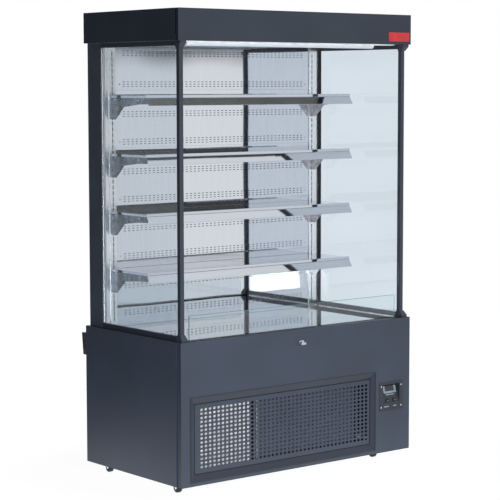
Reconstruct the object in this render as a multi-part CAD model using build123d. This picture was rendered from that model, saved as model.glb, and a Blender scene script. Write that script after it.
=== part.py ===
from build123d import *
import os
from math import atan2, cos, sin

# Open multideck display fridge on castors, in millimetres, +Z up, +Y towards the wall behind it.
# The origin lies on the floor under the middle of the whole outline, front hook and wall spacers included.

# Cabinet
cabinet_width = 1270
cabinet_depth = 686
cabinet_height = 1980
castor_rise = 53          # floor to the underside of the base
base_height = 593
canopy_height = 128
canopy_setback = 6        # canopy faces behind the base's front and back faces
upper_inset = 19          # posts, rails and rear wall inside the cabinet's sides
hook_reach = 16           # front hook ahead of the front panel
spacer_reach = 38         # wall spacers behind the back panel

# Sheet metal and fits
sheet = 1.5
seat = 0.3                # clearance where one piece rests against another
seam = 0.5                # visible joint between two panels
hem = 4                   # front faces overhang their side returns by this
corner_recess = 33        # depth of the recessed front corner of the base
canopy_recess = 21        # and of the canopy
side_return = 12          # inward folds of the side panels
cutter = 30               # more than any sheet or case that a cutter passes through

# Base chassis
tray_sheet = 2.5
tray_lip = 14
upright_size = 24
upright_sheet = 2

# Insulated tub and sill
tub_clearance = 4
tub_drop = 231            # base's top edge to the tub's underside
tub_wall = 35
well_inset = 37           # cabinet side to the inside of the well
well_front = 43           # front face to the inside of the well
sill_height = 12
well_radius = 14

# Rear wall and its air duct
back_panel_inset = 103    # back of the cabinet to the polished back panels
duct_depth = 32
cheek = 10
duct_mouth = 20           # back panels stop this far under the deck

louvre_x = 300            # middle of each bank of louvres in the base's rear panel
louvre_up = 77            # over the underside of the base
louvre_length = 220
louvre_height = 7
louvre_pitch = 26
louvre_rows = 7

# Display deck
deck_drop = 3             # under the base's top edge
deck_front = 66
return_slots = 7
return_slot_height = 110
return_slot_web = 14
return_slot_up = 25

# Posts, side glass and rails
post_size = 17
post_setback = 28
glass = 5
glass_fit = 0.3
glass_bite = 8            # glass edge held in a rail or post
rail_height = 20
rail_groove = 1.2         # shadow line along the rail's outer face
block_width = 31.5
block_depth = 38.3
block_outset = 8.5        # corner block beyond the post, outwards
block_ahead = 19.6        # and forwards
block_foot = 10
block_taper = 18
block_collar = 3

# Low front glass
front_glass = 6
front_glass_setback = 30
front_glass_inset = 66    # cabinet side to the glass's end
front_glass_rise = 102    # above the base
front_glass_bite = 9

# Polished back panels with rows of slots, all three rows of a band as one row
top_panel = 197
panel_pitch = 245
lowest_panel = 20         # least height of the last one above the deck
top_band = 40             # under the canopy
band_over_seam = 25
band_under_seam = 102
band_margin = 50          # end of a band to the standard
band_slots = 5
band_slot_height = 16
band_slot_web = 30

# Slotted shelf standards
standard_inset = 43       # side of the rear wall to the raised channel
standard_width = 33
standard_proud = 4
standard_return = 15      # forward fold along the side glass
slot_inset = 16           # outer edge of the channel to the slots' middle
slot_width = 4
slot_height = 18
slot_pitch = 49.2

# Shelves
shelf_count = 4
lowest_shelf = 248.5      # above the base
slots_per_shelf = 5
shelf_overhang = 6        # deck past the middle of its brackets
shelf_depth = 255         # standards to the ticket strip
shelf_sheet = 1.2
shelf_fold = 20
strip_rise = 3
strip_lip = 13
strip_drop = 32
strip_splay = 21
bracket_sheet = 2
bracket_height = 100
bracket_foot = 25
bracket_knee_reach = 85
bracket_knee_height = 47
bracket_taper_reach = 190
bracket_taper_height = 36
bracket_nose_height = 34
bracket_flange = 12
hook_drop = 30            # shelf top to the upper hook's neck
hook_neck = 8
hook_lip = 3
hook_tail = 5

# Canopy
fascia_return = 30
ceiling_thickness = 25
outlet_front = 58
outlet_depth = 46
outlet_inset = 49         # cabinet side to the outlet's end
outlet_drop = 4
outlet_height = 20
outlet_cells = 13
lamp_inset = 124
lamp_front = 109
lamp_width = 34
lamp_body_height = 10
lamp_recess = 4
diffuser_drop = 12
lamp_cap = 3

# Grille
grille_left = 48          # cabinet side to the frame
grille_right = 207
grille_down = 230         # base's top edge to the frame
grille_up = 17            # over the underside of the base
grille_bevel = 25.5
grille_depth = 15
grille_lip = 4
grille_lip_sheet = 1
grille_tab = 12
grille_gap = 4
grille_margin = (54, 49.5)    # frame's outline to the field of openings
grille_columns = 13       # each opening stands for a group of the small round holes
grille_rows = 4
grille_web = 13

# Control plate and its wedge pocket
plate_width = 141.5
plate_height = 128.5
plate_inset = 112.3       # cabinet side to the plate's middle
plate_down = 344.2        # base's top edge to its middle
pocket_width = 101
pocket_foot = 33.8        # plate's middle to the pocket's foot
pocket_height = 87.5
pocket_depth = 22
controller_width = 77
controller_height = 35
controller_bezel = 4
controller_body = (70, 28, 48)
controller_window = (44, 20, 1)
controller_up = 64        # up the pocket's floor from its lower edge
switch_up = 15
switch_spacing = 43
switch_bezel = (21, 17, 1.6)
switch_body = (18, 14, 16)
switch_wall = 1.2
rocker_gap = 0.4
rocker_swing_gap = 1.1    # along the slope, for the tilt
rocker_rise = 2.2
rocker_pin = 1
trunnion_sides = 12
rocker_pin_depth = 3.5
rocker_dip = 1.6
rocker_taper = 2
rocker_tilt = 6           # degrees, its lower end pressed in
running_fit = 0.05
screw_head = 3.2
screw_rise = 1.2
screw_sides = 12
screw_inset = (11, 18)

# Front hook and wall spacers
hook_down = 57
hook_width = 26
hook_plate = 20
hook_sheet = 2
hook_upturn = 10
hook_slope = 3
hook_round = 5
spacer_down = 34          # base's top edge to the spacer's top
spacer_height = 95
spacer_width = 33
spacer_taper = 10

# Castors
castor_side = 88          # cabinet side to the wheel's middle
castor_front = 144        # front face to the front wheels' axles
castor_back = 43
castor_trail = 16
castor_plate = (60, 54, 3)
wheel_radius = 20
wheel_width = 18
hub_radius = 12
hub_sink = 3
hub_sides = 10
tread_facets = 32         # a flat at the foot, where a tyre flattens
axle_radius = 3
kingpin_radius = 4
kingpin_head = 6.5        # half of its width across the flats
kingpin_sides = 6
kingpin_head_height = 1.5
fork_crown = 4
fork_leg = 2
fork_gap = 1.5
crown_gap = 1
crown_length = 26
crown_ahead = 10
leg_front = 8
leg_back = 16
axle_eye = 7

# Machine bay
coil_inset = 95           # cabinet side to the coil
coil_width = 300
coil_up = 39              # over the underside of the base
coil_down = 43            # tub to the coil's top
coil_front = 45
coil_depth = 40
coil_fins = 12
fin_groove = 6
coil_plate = 2
fan_radius = 105
fan_tip_gap = 7
fan_hub = 26
fan_depth = 38
fan_blades = 5
fan_pitch = 32
fan_ring_spare = 14       # the shroud's ring is this much deeper than the fan
blade_sheet = 2
hub_facets = 15
motor_facets = 12
ring_facets = 30
blade_root = 0.8          # blade widths as shares of the hub and of the tip radius
blade_tip = 0.6
shaft_gap = 1
shaft_radius = 4
motor_radius = 34
motor_length = 52
arm_width = 12
arm_sheet = 3
arm_count = 3
baffle_gap = 18           # coil to the baffle
baffle_short = 90         # grille frame's end to the baffle's end
baffle_front = 42
baffle_down = 13          # tub to the baffle's top
baffle_fold = 12
compressor_x = 120
compressor_back = 190
compressor_radius = 82
compressor_height = 195
compressor_dome = 30
compressor_shoulder = 18
compressor_flange = 4
compressor_flange_height = 6
compressor_seam = 117
compressor_sides = 24
compressor_foot = (210, 150, 4)
compressor_stand = 12
grommet_radius = 10
grommet_sides = 8
grommet_inset = 14
pan_inset = 95
pan_width = 240
pan_depth = 170
pan_height = 38
pan_back = 60
pan_sheet = 2

# Cooling coil and fans under the deck
evaporator_inset = 170    # side of the well to the coil
evaporator_front = 250
evaporator_depth = 150
evaporator_height = 82
evaporator_fins = 10
fan_plate_setback = 165
cold_fan_x = 200
cold_fan_radius = 40
cold_fan_hub = 14
cold_fan_depth = 18
cold_fan_blades = 4
cold_fan_tip_gap = 3
cold_arm_bite = 2
cold_hole_facets = 20
cold_motor_radius = 19
cold_motor_length = 26

# Places that follow from the sizes above
half = cabinet_width / 2
front = hook_reach - (hook_reach + cabinet_depth + spacer_reach) / 2
back = front + cabinet_depth
base_top = castor_rise + base_height
tub_bottom = base_top - tub_drop
tub_floor = tub_bottom + tub_wall
deck_height = base_top - deck_drop
canopy_bottom = cabinet_height - canopy_height
upper_half = half - upper_inset
glass_x = upper_half - post_size / 2
post_front = front + post_setback
post_back = post_front + post_size
panel_face = back - back_panel_inset
duct_back = panel_face + duct_depth
upper_back = back - canopy_setback
side_front = front + corner_recess
well_half = half - well_inset
tray_top = castor_rise + tray_sheet
inner_half = half - side_return - seam
standard_bottom = deck_height + seam
standard_face = panel_face - standard_proud
standard_outer = upper_half - standard_inset
standard_inner = standard_outer - standard_width
slot_x = standard_outer - slot_inset
shelf_half = slot_x + shelf_overhang
shelf_front = standard_face - shelf_depth
shelf_tops = [base_top + lowest_shelf + i * slots_per_shelf * slot_pitch for i in range(shelf_count)]
front_glass_half = half - front_glass_inset
front_glass_top = base_top + front_glass_rise
outlet_half = half - outlet_inset
lamp_half = half - lamp_inset
grille_width = cabinet_width - grille_left - grille_right
grille_height = base_height - grille_down - grille_up
grille_x = (grille_left - grille_right) / 2
grille_z = castor_rise + grille_up + grille_height / 2
plate_x = half - plate_inset
plate_z = base_top - plate_down
pocket_bottom = plate_z - pocket_foot
coil_x = (coil_inset - half, coil_inset - half + coil_width)
coil_z = (castor_rise + coil_up, tub_bottom - coil_down)
fan_x = (coil_x[0] + coil_x[1]) / 2
fan_z = (coil_z[0] + coil_z[1]) / 2
baffle_x = (coil_x[1] + baffle_gap, half - grille_right - baffle_short)
pan_x = (half - pan_inset - pan_width, half - pan_inset)
pocket_angle = atan2(pocket_depth + sheet, pocket_height)


def block(x, y, z):
    """A box from (low, high) pairs."""
    size = Box(x[1] - x[0], y[1] - y[0], z[1] - z[0])
    return Pos((x[0] + x[1]) / 2, (y[0] + y[1]) / 2, (z[0] + z[1]) / 2) * size


def plan(z):
    """Sketch plane for outlines in X and Y, drawn upwards."""
    return Plane.XY.offset(z)


def profile(x):
    """Sketch plane for outlines in Y and Z, drawn towards +X."""
    return Plane.YZ.offset(x)


def elevation(y):
    """Sketch plane for outlines in X and Z, drawn towards the front."""
    return Plane(origin=(0, y, 0), x_dir=(1, 0, 0), z_dir=(0, -1, 0))


def prism(points, plane, length):
    return extrude(plane * make_face(Polyline(*points, close=True)), length)


def folded(points, thickness, plane, length, side=Side.RIGHT):
    """A folded sheet: its outer line, its thickness to one side of it, drawn out."""
    outline = offset(Polyline(*points), thickness, kind=Kind.INTERSECTION, side=side, closed=True)
    return extrude(plane * make_face(outline), length)


def repeated(outline, places):
    return Sketch(children=[place * outline for place in places])


def mirrored(shape):
    return mirror(shape, about=Plane.YZ)


def pocket_plane(x, up):
    """On the control pocket's sloping floor, facing out: local y runs up the slope."""
    y = front - sheet + up * sin(pocket_angle)
    z = pocket_bottom + up * cos(pocket_angle)
    normal = (0, -cos(pocket_angle), sin(pocket_angle))
    return Plane(origin=(x, y, z), x_dir=(1, 0, 0), z_dir=normal)


def base_chassis():
    """Folded floor tray with four angle uprights that carry the tub."""
    y = (front + sheet + seam, back - sheet - seam)
    lip_top = castor_rise + tray_lip
    path = [(y[0], lip_top), (y[0], castor_rise), (y[1], castor_rise), (y[1], lip_top)]
    tray = folded(path, tray_sheet, profile(-inner_half), 2 * inner_half, Side.LEFT)
    height = tub_bottom - tray_top
    y = (side_front + side_return, back - side_return)
    for start, turn in ((y[0], 1), (y[1], -1)):
        path = [(inner_half, start + turn * upright_size), (inner_half, start),
                (inner_half - upright_size, start)]
        side = Side.RIGHT if turn > 0 else Side.LEFT
        upright = folded(path, upright_sheet, plan(tray_top), height, side)
        tray += upright + mirrored(upright)
    return tray


def base_side_right():
    path = [(half - side_return, side_front), (half, side_front), (half, back), (half - side_return, back)]
    return folded(path, sheet, plan(castor_rise), base_height, Side.LEFT)


def base_side_left():
    return mirrored(base_side_right())


def grille_outline(grow, y):
    outline = Rectangle(grille_width + 2 * grow, grille_height + 2 * grow)
    return elevation(y) * Pos(grille_x, grille_z) * outline


def base_front_panel():
    """Front sheet with hemmed edges and side returns, open for the grille and the control pocket."""
    inner = half - hem
    end = side_front - seam
    path = [(-inner, end), (-inner, front), (inner, front), (inner, end)]
    panel = folded(path, sheet, plan(castor_rise), base_height, Side.LEFT)
    panel += block((-half, half), (front, front + sheet), (castor_rise, base_top))
    panel -= extrude(grille_outline(sheet + seat, front + sheet), sheet)
    reach = pocket_width / 2 + sheet + seat
    panel -= block((plate_x - reach, plate_x + reach), (front, front + sheet),
                   (pocket_bottom - 2 * sheet - seat, pocket_bottom + pocket_height + sheet + seat))
    return panel


def base_rear_panel():
    """Back sheet between the side returns, with two banks of louvre slots."""
    panel = block((-inner_half, inner_half), (back - sheet, back), (castor_rise, base_top))
    reach = louvre_length / 2
    for x in (-louvre_x, louvre_x):
        for row in range(louvre_rows):
            z = castor_rise + louvre_up + row * louvre_pitch
            panel -= block((x - reach, x + reach), (back - sheet, back), (z, z + louvre_height))
    return panel


def grille_frame():
    """Bevelled frame set into the front panel, with tabs all round behind the grille panel."""
    deep = front + grille_depth
    skin = loft([grille_outline(sheet, front), grille_outline(sheet - grille_bevel, deep)], ruled=True)
    skin -= loft([grille_outline(0, front), grille_outline(-grille_bevel, deep)], ruled=True)
    lip = extrude(grille_outline(grille_lip, front) - grille_outline(0, front), grille_lip_sheet)
    ring = grille_outline(sheet - grille_bevel, deep + sheet)
    ring -= grille_outline(-grille_bevel - grille_tab, deep + sheet)
    return skin + lip + extrude(ring, sheet)


def grille_panel():
    """Perforated panel, a seam inside the bevel, resting on the frame's tabs."""
    back_face = front + grille_depth - seat
    panel = extrude(grille_outline(-grille_bevel - grille_gap, back_face), sheet)
    step_x = (grille_width - 2 * grille_margin[0]) / grille_columns
    step_z = (grille_height - 2 * grille_margin[1]) / grille_rows
    hole = Rectangle(step_x - grille_web, step_z - grille_web)
    holes = repeated(hole, GridLocations(step_x, step_z, grille_columns, grille_rows))
    return panel - extrude(elevation(back_face) * Pos(grille_x, grille_z) * holes, sheet)


def control_plate():
    """Plate over the front panel with a wedge pocket that is deep at its top and flush at its foot."""
    x = (plate_x - pocket_width / 2, plate_x + pocket_width / 2)
    top = pocket_bottom + pocket_height
    face = front - sheet
    plate = block((plate_x - plate_width / 2, plate_x + plate_width / 2), (face, front),
                  (plate_z - plate_height / 2, plate_z + plate_height / 2))
    shell = [(front, pocket_bottom - 2 * sheet), (front, top + sheet),
             (front + pocket_depth + sheet, top + sheet)]
    hollow = [(face, pocket_bottom), (face, top), (front + pocket_depth, top)]
    plate += prism(shell, profile(x[0] - sheet), pocket_width + 2 * sheet)
    plate -= prism(hollow, profile(x[0]), pocket_width)
    opening = Box(controller_body[0] + 2 * seat, controller_body[1] + 2 * seat, cutter)
    plate -= pocket_plane(plate_x, controller_up) * opening
    for sx in (-1, 1):
        hole = Box(switch_body[0] + 2 * seat, switch_body[1] + 2 * seat, cutter)
        plate -= pocket_plane(plate_x + sx * switch_spacing / 2, switch_up) * hole
    return plate


def controller():
    """Digital temperature controller: bezel with a sunk display, case behind the pocket floor."""
    bezel = Pos(0, 0, controller_bezel / 2) * Box(controller_width, controller_height, controller_bezel)
    bezel = chamfer(bezel.faces().sort_by(Axis.Z)[-1].edges(), 1)
    case = Pos(0, 0, -controller_body[2] / 2) * Box(*controller_body)
    window = Pos(0, 0, controller_bezel - controller_window[2] / 2) * Box(*controller_window)
    return pocket_plane(plate_x, controller_up) * (bezel + case - window)


def rocker_size():
    """Width across the slope and height up it of a rocker inside its body."""
    width = switch_body[0] - 2 * (switch_wall + rocker_gap)
    return width, switch_body[1] - 2 * (switch_wall + rocker_swing_gap)


def trunnion(radius, length):
    """Many-sided pin through a switch, in the switch's own frame."""
    section = Pos(0, -rocker_pin_depth) * RegularPolygon(radius, trunnion_sides)
    return extrude(profile(-length / 2) * section, length)


def switch_bodies():
    bodies = []
    for sx in (-1, 1):
        bezel = Pos(0, 0, switch_bezel[2] / 2) * Box(*switch_bezel)
        case = Pos(0, 0, -switch_body[2] / 2) * Box(*switch_body)
        cavity = Box(switch_body[0] - 2 * switch_wall, switch_body[1] - 2 * switch_wall, switch_body[2])
        pin_hole = trunnion(rocker_pin + 2 * running_fit, switch_body[0])
        body = bezel + case - Pos(0, 0, switch_bezel[2] - 2) * cavity - pin_hole
        bodies.append(pocket_plane(plate_x + sx * switch_spacing / 2, switch_up) * body)
    return Compound(children=bodies)


def rocker(sx):
    """Shallow V-topped key on two trunnions, tilted to the end of its travel."""
    width, height = rocker_size()
    low = -rocker_pin_depth - 2 * rocker_pin
    top = switch_bezel[2] + rocker_rise
    foot = height / 2 - rocker_taper
    outline = [(-height / 2, top), (0, top - rocker_dip), (height / 2, top), (foot, low), (-foot, low)]
    key = prism(outline, profile(-width / 2), width)
    pin_length = width + 2 * rocker_gap + 2 * switch_wall - 2 * seat
    key += trunnion(rocker_pin, pin_length)
    tilted = Pos(0, 0, -rocker_pin_depth) * Rot(rocker_tilt, 0, 0) * Pos(0, 0, rocker_pin_depth) * key
    return pocket_plane(plate_x + sx * switch_spacing / 2, switch_up) * tilted


def panel_screws():
    """Pan-head screws at the control plate's corners."""
    heads = []
    for x in (-1, 1):
        for z in (-1, 1):
            place = Pos(plate_x + x * (plate_width / 2 - screw_inset[0]),
                        plate_z + z * (plate_height / 2 - screw_inset[1]))
            head = RegularPolygon(screw_head, screw_sides)
            heads.append(extrude(elevation(front - sheet) * place * head, screw_rise))
    return Compound(children=heads)


def front_hook():
    """Small chromed hook that holds the night blind's end."""
    low = base_top - hook_down - hook_plate / 2
    reach = front - hook_reach
    path = [(front, low + hook_plate), (front, low), (reach, low + hook_slope),
            (reach, low + hook_slope + hook_upturn)]
    hook = folded(path, hook_sheet, profile(-hook_width / 2), hook_width)
    sides = [e for e in hook.edges().filter_by(Axis.Y) if e.center().Y > front - hook_sheet]
    return fillet(sides, hook_round)


def rear_spacers():
    """Folded steel wall spacers, tapering in towards their foot."""
    top = base_top - spacer_down
    low = top - spacer_height
    far = back + spacer_reach

    def wedge(inset, near):
        outer = [(near, low + inset), (far - spacer_taper - inset, low + inset), (far - inset, top - inset),
                 (near, top - inset)]
        return prism(outer, profile(hem - half + inset), spacer_width - 2 * inset)
    left = wedge(0, back) - wedge(sheet, back)
    return Compound(children=[left, mirrored(left)])


def insulated_tub():
    """Foamed tub with a liner that is rounded at its upright corners, open at the top."""
    outer = block((-inner_half, inner_half), (front + tub_clearance, back - tub_clearance),
                  (tub_bottom, base_top - sill_height))
    well = block((-well_half, well_half), (front + well_front, duct_back), (tub_floor, base_top))
    well = fillet(well.edges().filter_by(Axis.Z), well_radius)
    return outer - well


def sill_frame():
    """Dark rim round the well, level with the panels, slotted for the low front glass."""
    reach = half - sheet - seat
    z = (base_top - sill_height, base_top)
    rim = block((-reach, reach), (front + sheet + seat, back - sheet - seat), z)
    rim -= block((-well_half, well_half), (front + well_front, duct_back), z)
    slot = front_glass_half + seat
    y = front + front_glass_setback
    rim -= block((-slot, slot), (y - seat, y + front_glass + seat),
                 (base_top - front_glass_bite - seat, base_top))
    for sx in (-1, 1):
        x = sorted((sx * (half - hem - sheet - seat), sx * half))
        rim -= block(x, (front, side_front + sheet + seat), z)
        x = sorted((sx * (half - side_return - seat), sx * half))
        rim -= block(x, (side_front - seam, side_front + sheet + seat), z)
    return rim


def display_deck():
    """Folded deck on two slotted legs that stand on the tub's floor."""
    y = (front + deck_front, standard_face - seam)
    reach = well_half - 2 * seam
    floor = tub_floor
    path = [(y[0], floor), (y[0], deck_height), (y[1], deck_height), (y[1], floor)]
    deck = folded(path, sheet, profile(-reach), 2 * reach)
    pitch = 2 * reach / return_slots
    for i in range(return_slots):
        x = -reach + (i + 0.5) * pitch
        low = floor + return_slot_up
        half_slot = (pitch - return_slot_web) / 2
        for leg in ((y[0], y[0] + sheet), (y[1] - sheet, y[1])):
            deck -= block((x - half_slot, x + half_slot), leg, (low, low + return_slot_height))
    return deck


def low_front_glass():
    y = front + front_glass_setback
    return block((-front_glass_half, front_glass_half), (y, y + front_glass),
                 (base_top - front_glass_bite, front_glass_top))


def rear_wall():
    """Insulated rear wall with forward cheeks at both sides of the air duct."""
    points = [(-upper_half, panel_face), (-upper_half, upper_back), (upper_half, upper_back),
              (upper_half, panel_face), (upper_half - cheek, panel_face), (upper_half - cheek, duct_back),
              (cheek - upper_half, duct_back), (cheek - upper_half, panel_face)]
    return prism(points, plan(base_top), canopy_bottom - base_top)


def panel_seams():
    """Seams between the back panels, from the canopy down."""
    seams = [canopy_bottom - top_panel]
    while seams[-1] - panel_pitch > deck_height + lowest_panel:
        seams.append(seams[-1] - panel_pitch)
    return seams


def band_heights():
    """Middles of the bands of slots: one under the canopy, then one above and one below each seam."""
    bands = [canopy_bottom - top_band]
    for seam_z in panel_seams():
        bands += [seam_z + band_over_seam, seam_z - band_under_seam]
    return [z for z in bands if z > deck_height + band_slot_height]


def back_panels():
    """Polished sheets between the standards, with bands of slots for the cold air."""
    reach = standard_inner - seam
    edges = [canopy_bottom] + panel_seams() + [deck_height - duct_mouth]
    panels = []
    for top, bottom in zip(edges, edges[1:]):
        sheet_panel = block((-reach, reach), (panel_face, panel_face + sheet), (bottom + seam, top))
        for z in band_heights():
            if bottom < z < top:
                pitch = 2 * (standard_inner - band_margin) / band_slots
                slot = Rectangle(pitch - band_slot_web, band_slot_height)
                row = repeated(slot, GridLocations(pitch, 1, band_slots, 1))
                sheet_panel -= extrude(elevation(panel_face + sheet) * Pos(0, z) * row, sheet)
        panels.append(sheet_panel)
    return Compound(children=panels)


def slot_heights():
    """Lower edges of the slots in a standard, set out from the lowest shelf's hook."""
    first = shelf_tops[0] - hook_drop
    while first - slot_pitch > standard_bottom + slot_pitch:
        first -= slot_pitch
    count = int((canopy_bottom - slot_height - first) / slot_pitch)
    return [first + i * slot_pitch for i in range(count + 1)]


def shelf_standards():
    """Folded steel pilasters with a raised slotted channel, one at each side of the back panels."""
    path = [(upper_half - cheek - seat, panel_face), (standard_outer, panel_face),
            (standard_outer, standard_face), (standard_inner, standard_face),
            (standard_inner, panel_face + sheet)]
    strip = folded(path, sheet, plan(standard_bottom), canopy_bottom - standard_bottom)
    outer = glass_x - glass / 2 - seat
    strip += block((outer - sheet, outer), (panel_face - standard_return, panel_face),
                   (base_top + rail_height + seat, canopy_bottom - rail_height - seat))
    slots = [Pos(slot_x, z + slot_height / 2) * Rectangle(slot_width, slot_height) for z in slot_heights()]
    strip -= extrude(elevation(standard_face + sheet) * Sketch(children=slots), sheet)
    strip -= block((well_half - seam, half), (panel_face, duct_back), (standard_bottom, base_top + seat))
    return Compound(children=[strip, mirrored(strip)])


def side_glass_right():
    return block((glass_x - glass / 2, glass_x + glass / 2),
                 (post_back - glass_bite + seat, panel_face - seat),
                 (base_top + rail_height - glass_bite, canopy_bottom - rail_height + glass_bite))


def side_glass_left():
    return mirrored(side_glass_right())


def glass_rails():
    """Grooved rails under and over each side glass."""
    half_rail = post_size / 2
    half_groove = glass / 2 + glass_fit
    floor = rail_height - glass_bite - glass_fit
    middle = rail_height / 2
    outline = [(-half_rail, 0), (half_rail, 0), (half_rail, middle - 1),
               (half_rail - rail_groove, middle - 1), (half_rail - rail_groove, middle + 1),
               (half_rail, middle + 1), (half_rail, rail_height), (half_groove, rail_height),
               (half_groove, floor), (-half_groove, floor), (-half_groove, rail_height),
               (-half_rail, rail_height)]
    start = post_front - block_ahead + block_depth + seat
    length = panel_face - seat - start
    rails = []
    for top in (False, True):
        points = [(glass_x + x, canopy_bottom - z if top else base_top + z) for x, z in outline]
        rail = prism(points, elevation(start), -length)
        rails += [rail, mirrored(rail)]
    return Compound(children=rails)


def front_posts():
    """Square posts, grooved at the back for the side glass."""
    centre_y = (post_front + post_back) / 2
    section = Pos(glass_x, centre_y) * Rectangle(post_size, post_size)
    section = chamfer(section.vertices(), 1)
    bite = glass_bite + glass_fit
    section -= Pos(glass_x, post_back - bite / 2) * Rectangle(glass + 2 * glass_fit, bite)
    post = extrude(plan(base_top) * section, canopy_bottom - base_top)
    return Compound(children=[post, mirrored(post)])


def corner_blocks():
    """Moulded blocks at the foot and head of each post, faceted in towards it."""
    x = (upper_half + block_outset - block_width, upper_half + block_outset)
    y = (post_front - block_ahead, post_front - block_ahead + block_depth)
    foot = Pos((x[0] + x[1]) / 2, (y[0] + y[1]) / 2) * Rectangle(block_width, block_depth)
    collar_size = post_size + 2 * block_collar
    post_middle = (post_front + post_back) / 2
    collar = Rectangle(collar_size, collar_size)
    collar = Pos(glass_x, min(post_middle, y[1] - collar_size / 2)) * collar
    hole = Pos(glass_x, post_middle) * Rectangle(post_size + 2 * seat, post_size + 2 * seat)
    height = block_foot + block_taper
    lower = extrude(plan(base_top) * foot, block_foot)
    lower += loft([plan(base_top + block_foot) * foot, plan(base_top + height) * collar], ruled=True)
    slit = Pos(glass_x, y[1]) * Rectangle(glass + 2 * glass_fit, 2 * (y[1] - post_back) + 2 * seat)
    lower -= extrude(plan(base_top) * (hole + slit), height)
    upper = mirror(lower, about=Plane.XY.offset((base_top + canopy_bottom) / 2))
    return Compound(children=[lower, upper, mirrored(lower), mirrored(upper)])


def canopy_fascia():
    """Canopy front with top, bottom and side returns."""
    face = front + canopy_setback
    path = [(face + fascia_return, canopy_bottom), (face, canopy_bottom), (face, cabinet_height),
            (face + canopy_recess, cabinet_height)]
    fascia = folded(path, sheet, profile(-half), cabinet_width)
    for sx in (-1, 1):
        x = sorted((sx * (half - hem), sx * (half - hem - sheet)))
        fascia += block(x, (face + sheet, face + canopy_recess - seam), (canopy_bottom, cabinet_height))
        x = sorted((sx * (half - hem), sx * half))
        fascia -= block(x, (face + sheet, back), (canopy_bottom + sheet, cabinet_height))
        fascia -= block(x, (face + canopy_recess - seam, back), (canopy_bottom, cabinet_height))
    return fascia


def canopy_shell():
    """Canopy top, sides and back in one folded shell."""
    start = front + canopy_setback + canopy_recess + seam
    path = [(-half, canopy_bottom), (-half, cabinet_height), (half, cabinet_height), (half, canopy_bottom)]
    shell = folded(path, sheet, elevation(start), start - upper_back)
    shell += block((-half, half), (upper_back - sheet, upper_back), (canopy_bottom, cabinet_height))
    return shell


def outlet_y():
    return front + outlet_front, front + outlet_front + outlet_depth


def lamp_y():
    return front + lamp_front, front + lamp_front + lamp_width


def canopy_ceiling():
    """Insulated ceiling on the posts and the rear wall, open for the duct, the outlet and the lamp."""
    reach = half - sheet - seat
    y = (front + canopy_setback + fascia_return + seat, upper_back - sheet - seat)
    ceiling = block((-reach, reach), y, (canopy_bottom, canopy_bottom + ceiling_thickness))
    ceiling -= block((-well_half, well_half), (panel_face + 2 * sheet, duct_back),
                     (canopy_bottom, canopy_bottom + ceiling_thickness))
    reach = outlet_half + seat
    y = outlet_y()
    ceiling -= block((-reach, reach), (y[0] - seat, y[1] + seat),
                     (canopy_bottom, canopy_bottom + ceiling_thickness))
    reach = lamp_half + seat
    y = lamp_y()
    return ceiling - block((-reach, reach), (y[0] - seat, y[1] + seat),
                           (canopy_bottom, canopy_bottom + lamp_recess))


def air_outlet():
    """Grid that straightens the air curtain, with a light frame just below the ceiling."""
    y = outlet_y()
    z = (canopy_bottom - outlet_drop, canopy_bottom - outlet_drop + outlet_height)
    grid = block((-outlet_half, outlet_half), y, z)
    pitch = (2 * outlet_half - sheet) / outlet_cells
    cell = Rectangle(pitch - sheet, outlet_depth - 2 * sheet)
    cells = repeated(cell, GridLocations(pitch, 1, outlet_cells, 1))
    return grid - extrude(plan(z[0]) * Pos(0, (y[0] + y[1]) / 2) * cells, outlet_height)


def diffuser_outline(y, top):
    """A flat-topped arc that the opal cover and its end caps share."""
    middle = (y[0] + y[1]) / 2
    low = (middle, top - diffuser_drop)
    return make_face([Line((y[0], top), (y[1], top)), ThreePointArc((y[1], top), low, (y[0], top))])


def lamp_body():
    """Lamp channel in the ceiling with an end cap at each end."""
    y = lamp_y()
    top = canopy_bottom + lamp_recess
    low = top - lamp_body_height
    body = block((-lamp_half, lamp_half), y, (low, top))
    for x in (-lamp_half, lamp_half - lamp_cap):
        body += extrude(profile(x) * diffuser_outline(y, low), lamp_cap)
    return body


def lamp_diffuser():
    y = lamp_y()
    low = canopy_bottom + lamp_recess - lamp_body_height
    reach = lamp_half - lamp_cap
    return extrude(profile(-reach) * diffuser_outline((y[0] + 2, y[1] - 2), low), 2 * reach)


def shelf_deck(top):
    """Polished shelf with folded edges and a sloped ticket strip along its front."""
    y = (shelf_front + shelf_sheet, standard_face - 2 * seam)
    path = [(y[0], top - shelf_fold), (y[0], top), (y[1], top), (y[1], top - shelf_fold)]
    deck = folded(path, shelf_sheet, profile(-shelf_half), 2 * shelf_half)
    for x in ((-shelf_half, shelf_sheet - shelf_half), (shelf_half - shelf_sheet, shelf_half)):
        deck += block(x, y, (top - shelf_fold / 2, top))
    for sx in (-1, 1):
        x = (sx * slot_x - bracket_sheet / 2 - seam, sx * slot_x + bracket_sheet / 2 + seam)
        deck -= block(x, (y[1] - shelf_sheet, y[1]), (top - shelf_fold, top - shelf_sheet))
    lip = top + strip_rise - strip_lip
    path = [(shelf_front, top + strip_rise), (shelf_front, lip),
            (shelf_front - strip_splay, lip - strip_drop)]
    strip = folded(path, shelf_sheet, profile(-shelf_half), 2 * shelf_half, Side.LEFT)
    return Compound(children=[deck, strip])


def bracket_hook(slot):
    """Neck through a slot with a tail hanging down behind the standard."""
    rear = standard_face - seat
    inside = standard_face + sheet + seat
    low = slot + seat
    return [(rear, low + hook_neck), (inside + hook_lip, low + hook_neck),
            (inside + hook_lip, slot - hook_tail), (inside, slot - hook_tail), (inside, low), (rear, low)]


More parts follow.
